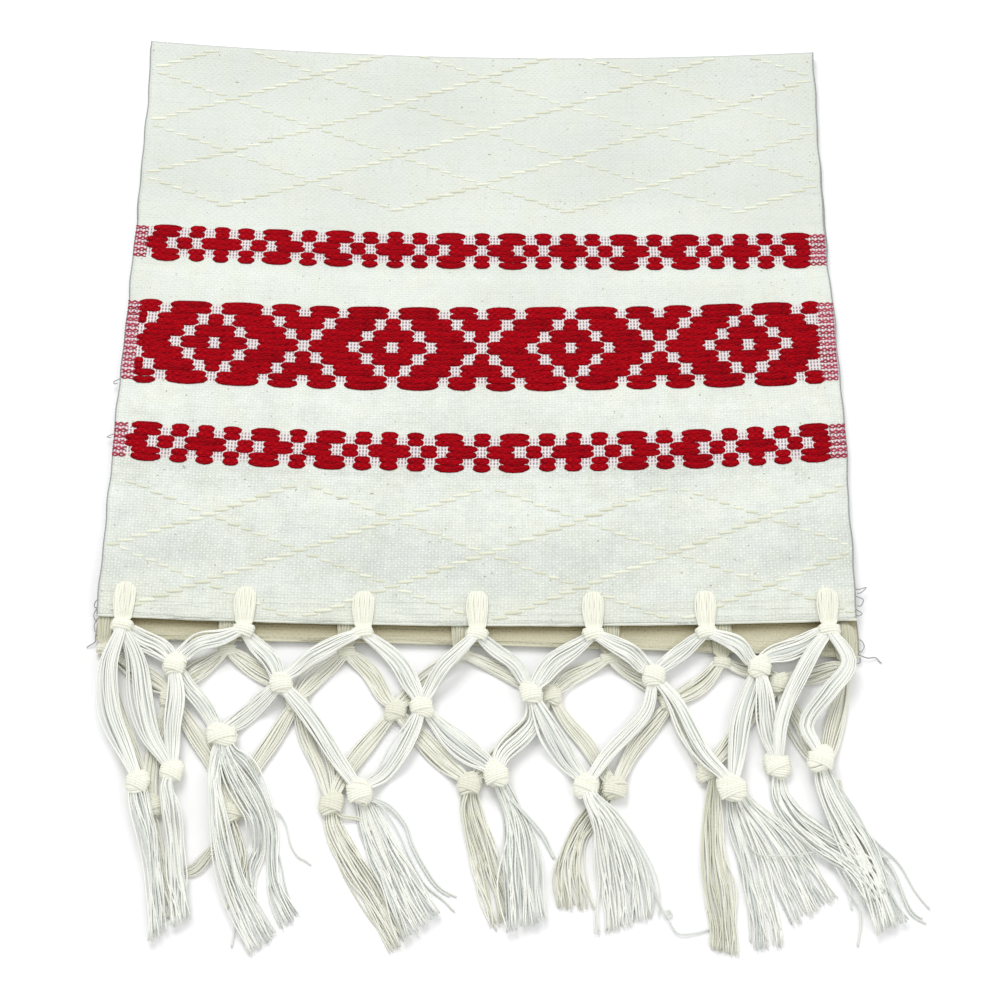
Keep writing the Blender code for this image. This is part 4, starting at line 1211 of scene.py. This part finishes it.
KNOT_YARN = 0.7
KNOT_PITCH = 1.12
KNOT_TURN_POINTS = 24
CROSSING_YARNS = 4


def add_knot(strands, knot, base, height, lean):
    """A knot: a barrel of slanting turns of yarn, and a few yarns of its last turn crossing them."""
    centre = np.array([knot.x, knot.y, base + height / 2])
    wide = knot.width / 2 - KNOT_YARN
    tall = height / 2 - KNOT_YARN
    long = knot.length / 2 - KNOT_YARN
    turns = int(knot.length / KNOT_PITCH)
    turn = np.linspace(0.0, 2 * math.pi, KNOT_TURN_POINTS, endpoint=False)
    slump = chance.uniform(0.0, 2 * math.pi)
    for number in range(turns):
        place = -1 + 2 * (number + 0.5) / turns
        around = (1 - abs(0.93 * place) ** 2.3) ** (1 / 2.3) * chance.uniform(0.97, 1.03)
        x = wide * around * np.cos(turn)
        z = tall * around * np.sin(turn)
        y = -place * long * (0.86 + 0.14 * np.abs(np.sin(turn)))
        y = y + lean * np.cos(turn) * (1 - 0.4 * abs(place))
        y = y + 0.35 * np.sin(2 * turn + slump) + chance.normal(0.0, 0.12)
        points = centre + np.stack([x, y, z], axis=-1)
        points[:, 2] = np.maximum(points[:, 2], KNOT_YARN)
        strands.add(points, KNOT_YARN, KNOT_YARN, (0.0, 1.0, 0.0), 0.25 * chance.random(), closed=True)
    core = np.linspace(-1.0, 1.0, 9)
    girth = (1 - np.abs(0.97 * core) ** 2.3) ** (1 / 2.3)
    path = centre + np.stack([0 * core, core * long, 0 * core], axis=-1)
    strands.add(path, girth * (wide - 0.1), girth * (tall - 0.1), UP, 0.3)
    over = np.linspace(0.12 * math.pi, 0.88 * math.pi, 11)
    slope = math.copysign(chance.uniform(0.2, 0.45) * long, lean)
    shift = chance.uniform(-0.35, 0.1) * long
    for yarn in range(CROSSING_YARNS):
        aside = (yarn - (CROSSING_YARNS - 1) / 2) * 1.1
        x = wide * 1.02 * np.cos(over)
        y = shift + aside - slope * np.cos(over)
        shrunk = np.sqrt(np.clip(1 - (y / (long + 0.8)) ** 2, 0.15, 1.0))
        z = (tall * shrunk + 0.55) * np.sin(over)
        points = centre + np.stack([x * (0.55 + 0.45 * shrunk), y, z], axis=-1)
        strands.add(points, KNOT_YARN, KNOT_YARN, (0.0, 1.0, 0.0), 0.2 * chance.random())


def strap_path(knot, side, places, points):
    """A smooth path through places given as a share of how far to the side it runs, a y and a height."""
    path = [(knot.x + side * share, y, max(z, YARN_RADIUS)) for share, y, z in places]
    return smooth_path(path, points)


def add_strap(strands, knot, net, knot_z):
    """Yarns looped over the hem: up through the weave, over the edge into the knot, and back underneath."""
    hem_y = line_y(net.hem, knot.x)
    slot_y = hem_y + STRAP_REACH + chance.uniform(-0.6, 0.6)
    top = net.cloth_z + SHEET_THICK / 2
    under = net.cloth_z - SHEET_THICK / 2
    for yarn in range(STRAP_YARNS):
        across = -1 + 2 * (yarn + 0.5) / STRAP_YARNS
        side = across * (net.strap_width + STRAP_SPREAD) / 2
        start = slot_y - 3.0 * abs(across) ** 3 + chance.normal(0.0, 0.1)
        lift = 0.5 + 0.35 * (yarn % 2) + 0.5 * (1 - across * across)
        over = (
            (0.88, start + 0.5, top - 1.2),
            (0.94, start, top + 0.25),
            (1.02, start - 2.0, top + lift),
            (1.06, start - 5.0, top + lift + 0.35),
            (1.04, hem_y + 6.0, top + lift + 0.4),
            (0.9, hem_y + 2.0, top + lift + 0.35),
            (0.8, hem_y - 0.8, top + 0.7),
            (0.5, knot.y + 2.0, knot_z + 0.9),
            (0.4, knot.y, knot_z),
        )
        path = strap_path(knot, side, over, STRAP_POINTS)
        path[:, 0] += 0.14 * np.sin(path[:, 1] / 3.0 + yarn * 2.1)
        strands.add(path, STRAP_YARN, STRAP_YARN, (1.0, 0.0, 0.0), net.shadow + 0.3 * chance.random())
        if yarn % 2:
            below = (
                (1.0, start + 0.3, top - 0.6),
                (1.0, start + 0.2, under - 0.4),
                (0.95, hem_y + 6.0, under - 0.7),
                (0.7, hem_y - 0.5, under - 0.3),
                (0.4, knot.y + 1.0, knot_z - 0.5),
            )
            path = strap_path(knot, side, below, STRAP_BACK_POINTS)
            strands.add(path, YARN_RADIUS, YARN_RADIUS, (1.0, 0.0, 0.0), chance.random())


# Loose threads: how many run side by side, their places, the heights at both ends, and their radius
Thread = namedtuple("Thread", "yarns places start_z end_z radius", defaults=(3.2, 0.47, 0.47))
UPPER_THREADS = (
    Thread(1, (
        (-107.1, -236.7), (-101.5, -244.3), (-94.9, -247.0), (-86.2, -249.1), (-81.6, -254.4),
        (-79.0, -263.3), (-75.8, -269.0), (-72.2, -271.2), (-69.2, -273.4),
    )),
    Thread(1, ((-103.1, -275.9), (-100.8, -284.6), (-100.2, -295.4), (-100.6, -302.7), (-101.7, -312.5))),
    Thread(2, (
        (-48.9, -241.9), (-43.2, -244.1), (-36.7, -247.2), (-30.0, -255.2), (-26.8, -264.1),
        (-20.1, -275.9), (-14.5, -282.8), (-7.6, -286.7),
    )),
    Thread(1, (
        (-47.1, -244.1), (-40.1, -247.7), (-32.9, -258.3), (-27.5, -269.8), (-20.9, -281.1),
        (-12.7, -288.0), (-5.8, -295.3),
    )),
    Thread(2, ((13.4, -241.2), (22.5, -251.0), (29.3, -259.0), (32.3, -264.7), (34.9, -270.9))),
    Thread(1, (
        (76.9, -282.7), (79.7, -291.3), (82.1, -294.8), (84.1, -299.0), (87.0, -301.6), (92.9, -301.1),
        (98.0, -299.7), (102.3, -297.6),
    )),
    Thread(1, (
        (74.9, -278.3), (78.1, -287.9), (80.5, -292.2), (82.6, -291.3), (83.8, -293.4), (81.3, -295.2),
    )),
    Thread(1, ((114.7, -264.6), (116.3, -277.9), (116.7, -288.8), (116.8, -304.3))),
    Thread(1, (
        (152.8, -231.8), (156.9, -237.2), (161.7, -243.0), (170.7, -257.8), (181.9, -269.6),
        (188.2, -281.9), (196.7, -293.5),
    )),
    Thread(2, (
        (154.4, -234.9), (162.3, -247.1), (170.9, -260.4), (179.1, -272.8), (183.6, -286.3),
        (186.6, -291.9), (191.8, -295.3),
    )),
    Thread(1, ((154.3, -272.2), (159.2, -282.2), (163.4, -289.5), (163.7, -296.9), (161.9, -305.9))),
    Thread(1, ((157.1, -273.9), (160.2, -280.0), (160.1, -287.0), (160.7, -291.3))),
    Thread(1, (
        (116.3, -259.3), (118.2, -263.7), (122.4, -267.2), (135.6, -267.5), (143.0, -266.1),
        (150.8, -265.6), (158.9, -266.8), (165.6, -268.9), (173.9, -267.5), (180.7, -268.8),
    ), 3.2, 3.0, 0.28),
)
LOWER_THREADS = (
    Thread(5, (
        (-106.3, -251.4), (-108.8, -259.1), (-111.0, -265.7), (-114.1, -270.6), (-118.5, -275.1),
        (-123.4, -276.9), (-126.8, -276.9),
    )),
    Thread(2, (
        (-4.0, -241.2), (-5.2, -248.0), (-3.8, -256.9), (-1.9, -265.8), (0.8, -275.9), (4.2, -285.5),
        (9.9, -300.6),
    )),
    Thread(2, ((-60.9, -246.8), (-57.7, -251.3), (-52.9, -252.2), (-48.6, -253.4), (-44.1, -258.8))),
    Thread(1, ((-102.3, -275.8), (-104.0, -282.4), (-105.6, -289.8))),
    Thread(1, ((-100.9, -276.6), (-102.5, -285.4), (-104.6, -293.2))),
)
EDGE_THREADS = (
    Thread(1, ((-169.4, -169.7), (-170.5, -172.1), (-173.0, -173.6), (-174.3, -174.5)), 2.4, 0.3, 0.26),
    Thread(1, ((-169.0, -151.0), (-171.4, -152.2), (-172.0, -155.0), (-169.6, -156.0)), 2.4, 1.8, 0.22),
    Thread(1, ((-169.4, -154.6), (-171.7, -158.0), (-171.5, -160.8), (-169.6, -162.9)), 2.4, 1.8, 0.22),
    Thread(1, ((-169.4, -160.0), (-171.2, -163.5), (-170.8, -166.6), (-169.3, -168.0)), 2.4, 1.8, 0.22),
    Thread(1, (
        (-169.6, -38.0), (-170.9, -38.8), (-172.7, -39.9), (-172.2, -41.0), (-170.2, -40.3),
    ), 3.4, 3.2, 0.25),
    Thread(1, ((-170.0, -67.5), (-171.7, -68.2), (-173.5, -69.3), (-171.5, -69.6)), 3.2, 3.0, 0.2),
    Thread(1, (
        (170.8, -174.0), (174.8, -175.2), (178.4, -174.7), (180.5, -176.6), (181.4, -177.1),
    ), 2.4, 0.3, 0.26),
    Thread(1, ((170.2, -172.0), (171.6, -176.7), (169.7, -177.7), (168.6, -176.0)), 2.4, 0.3, 0.22),
    Thread(1, (
        (170.0, -166.0), (172.7, -167.0), (173.8, -169.5), (172.3, -171.9), (170.6, -171.0),
    ), 2.4, 0.6, 0.22),
    Thread(1, (
        (170.6, -142.5), (172.9, -142.5), (176.2, -141.5), (173.7, -144.0), (171.0, -144.4),
    ), 3.8, 3.4, 0.22),
    Thread(1, ((171.0, -146.0), (174.4, -147.4), (173.3, -150.4), (170.9, -150.0)), 3.8, 3.0, 0.22),
    Thread(1, ((170.8, -152.5), (173.5, -154.3), (171.7, -155.4), (170.2, -154.0)), 3.8, 3.0, 0.22),
)


def add_threads(strands, threads):
    for thread in threads:
        path = smooth_path(thread.places, 5 * len(thread.places))
        share = np.linspace(0.0, 1.0, len(path))
        side = plan_sides(path)[:, :2]
        z = thread.end_z + (thread.start_z - thread.end_z) * (1 - share) ** 1.5
        middle = (thread.yarns - 1) / 2
        for yarn in range(thread.yarns):
            aside = 2.1 * thread.radius * (yarn - middle) + 0.3 * wave(share, 2.0, 4.0) * middle
            last = len(path) - chance.integers(0, 3)
            points = np.column_stack([path + side * aside[:, None], z])[:last]
            strands.add(points, thread.radius, thread.radius, UP, 0.5)


Net = namedtuple(
    "Net",
    "name straps strap_width knots links clumps hem cloth_z knot_height hem_knot_base threads hidden shadow",
)
LOWER_NET = Net(
    "fringe_lower", LOWER_STRAPS, 6.0, LOWER_KNOTS, LOWER_LINKS, LOWER_CLUMPS, LOWER_LINES[-1],
    LOWER_HEM_Z, 5.2, 0.0, LOWER_THREADS, ("m",), 0.7,
)
UPPER_NET = Net(
    "fringe_upper", UPPER_STRAPS, 6.6, UPPER_KNOTS, UPPER_LINKS, UPPER_CLUMPS, UPPER_LINES[-1],
    UPPER_HEM_Z, 6.0, UPPER_HEM_KNOT_BASE, UPPER_THREADS, (), 0.1,
)


def make_net(net, heaps, loose_yarn, knot_yarn):
    """One end's net of knotted yarn, laid on the heaps, which then hold it too."""
    edge = hem_knots(net.hem, net.straps)
    knots = {knot.name: knot for knot in edge + list(net.knots)}
    bundles = bundle_strands(net.links, knots)
    loose = clump_strands(net.clumps)
    bases = seat_knots(knots, bundles + loose, net.knot_height, heaps)
    heights = dict.fromkeys(knots, net.knot_height)
    for knot in edge:
        bases[knot.name] = net.hem_knot_base
        heights[knot.name] = HEM_KNOT_HEIGHT
    middles = {key: bases[key] + heights[key] / 2 for key in knots}
    bundle_paths = [laid_path(strand, middles, heaps) for strand in bundles]
    loose_paths = [laid_path(strand, middles, heaps) for strand in loose]
    legs, tassels, turns = Strands(YARN_SIDES), Strands(YARN_SIDES), Strands(YARN_SIDES + 1)
    for path in bundle_paths:
        add_leg(legs, path, 0.28 * net.knot_height)
        heaps.add_path(path, BUNDLE_WIDTH, BUNDLE_HEIGHT)
    for path, clump, strand in zip(loose_paths, net.clumps, loose):
        add_clump(tassels, path, clump, strand.width)
        heaps.add_path(path, strand.width, LOCK_HEIGHT)
    add_threads(tassels, net.threads)
    for knot in knots.values():
        if knot.name in net.hidden:
            continue
        lean = chance.choice((-1.0, 1.0)) * chance.uniform(0.9, 1.9)
        shape = knot._replace(length=knot.length * 1.12)
        height = heights[knot.name]
        if knot in edge:
            lean *= 0.3
            height *= 0.82 - 0.2 * net.shadow
            shape = knot._replace(width=knot.width * (1.0 - 0.25 * net.shadow), length=knot.length * 0.76)
        add_knot(turns, shape, bases[knot.name], height, lean)
        heaps.add(knot.x, knot.y, (knot.width + knot.length) / 4, bases[knot.name] + heights[knot.name])
    for knot in edge:
        add_strap(turns, knot, net, middles[knot.name])
    parts = (("legs", legs, loose_yarn), ("tassels", tassels, loose_yarn), ("knots", turns, knot_yarn))
    for part, strands, yarn in parts:
        piece = strands.piece(f"{net.name}_{part}", yarn, "fringe_yarn")
        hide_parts(net.name)


def edge_frays(material):
    """Fine ends of weft that stand out of the cloth's edges and corners."""
    strands = Strands(YARN_SIDES)
    add_threads(strands, EDGE_THREADS)
    return strands.piece("edge_frays", material, "woven_cloth")


FLOOR_HALF = 4.0
FLOOR_DROP = 0.0002
SKY_POWER = 0.75
SENSOR_WIDTH = 36.0
LENS = 79.2
CAMERA_PLACE = (-0.00343501, -0.54967192, 0.91187773)
CAMERA_TURN = (0.45986279, -0.01760817, 0.00593214)
Light = namedtuple("Light", "name place size power")
LIGHTS = (
    Light("overhead", (-0.35, 0.75, 1.35), 0.9, 13.0),
    Light("side", (1.1, -0.7, 1.2), 1.2, 5.0),
)
LIT_PLACE = (0.0, -0.05, 0.0)


def make_stage():
    """A plain pale floor, soft lights above and the camera of the photograph."""
    scene = bpy.context.scene
    mesh = bpy.data.meshes.new("floor")
    corners = [(x * FLOOR_HALF, y * FLOOR_HALF, 0) for x, y in ((-1, -1), (1, -1), (1, 1), (-1, 1))]
    mesh.from_pydata(corners, [], [(0, 1, 2, 3)])
    mesh.materials.append(floor_material())
    floor = bpy.data.objects.new("floor", mesh)
    floor.location = (0.0, 0.0, -FLOOR_DROP)
    scene.collection.objects.link(floor)
    world = bpy.data.worlds.new("studio")
    world.use_nodes = True
    sky = world.node_tree.nodes["Background"]
    sky.inputs["Color"].default_value = (1.0, 1.0, 1.0, 1.0)
    sky.inputs["Strength"].default_value = SKY_POWER
    scene.world = world
    for light in LIGHTS:
        data = bpy.data.lights.new(light.name, "AREA")
        data.size = light.size
        data.energy = light.power
        item = bpy.data.objects.new(light.name, data)
        item.location = light.place
        item.rotation_euler = (Vector(LIT_PLACE) - Vector(light.place)).to_track_quat("-Z", "Y").to_euler()
        scene.collection.objects.link(item)
    camera = bpy.data.cameras.new("camera")
    camera.sensor_width = SENSOR_WIDTH
    camera.lens = LENS
    view = bpy.data.objects.new("camera", camera)
    view.location = CAMERA_PLACE
    view.rotation_euler = CAMERA_TURN
    scene.collection.objects.link(view)
    scene.camera = view
    scene.view_settings.view_transform = "Standard"


make_stage()
towel_sheet, towel_length = make_cloth(cloth_material())
cream = yarn_material("cream_pattern_yarn")
white = yarn_material("fringe_cotton_yarn")
knot_white = yarn_material("knot_cotton_yarn")
# Darker copies of the yarns for the lower net: painted shade
lower_knot_painted_shade = yarn_material("lower_knot_yarn_painted_shade")
lower_fringe_painted_shade = yarn_material("lower_fringe_yarn_painted_shade")
hem_cotton = yarn_material("hem_cotton")
pattern = make_pattern(red_material())
lattice = make_lattice(cream)
rolls = hem_roll(hem_cotton)
frays = edge_frays(yarn_material("edge_fray_thread"))
pile = Heaps()
make_net(LOWER_NET, pile, lower_fringe_painted_shade, lower_knot_painted_shade)
pile.add_hem(LOWER_NET.hem, LOWER_STRAPS, LOWER_NET.strap_width)
make_net(UPPER_NET, pile, white, knot_white)
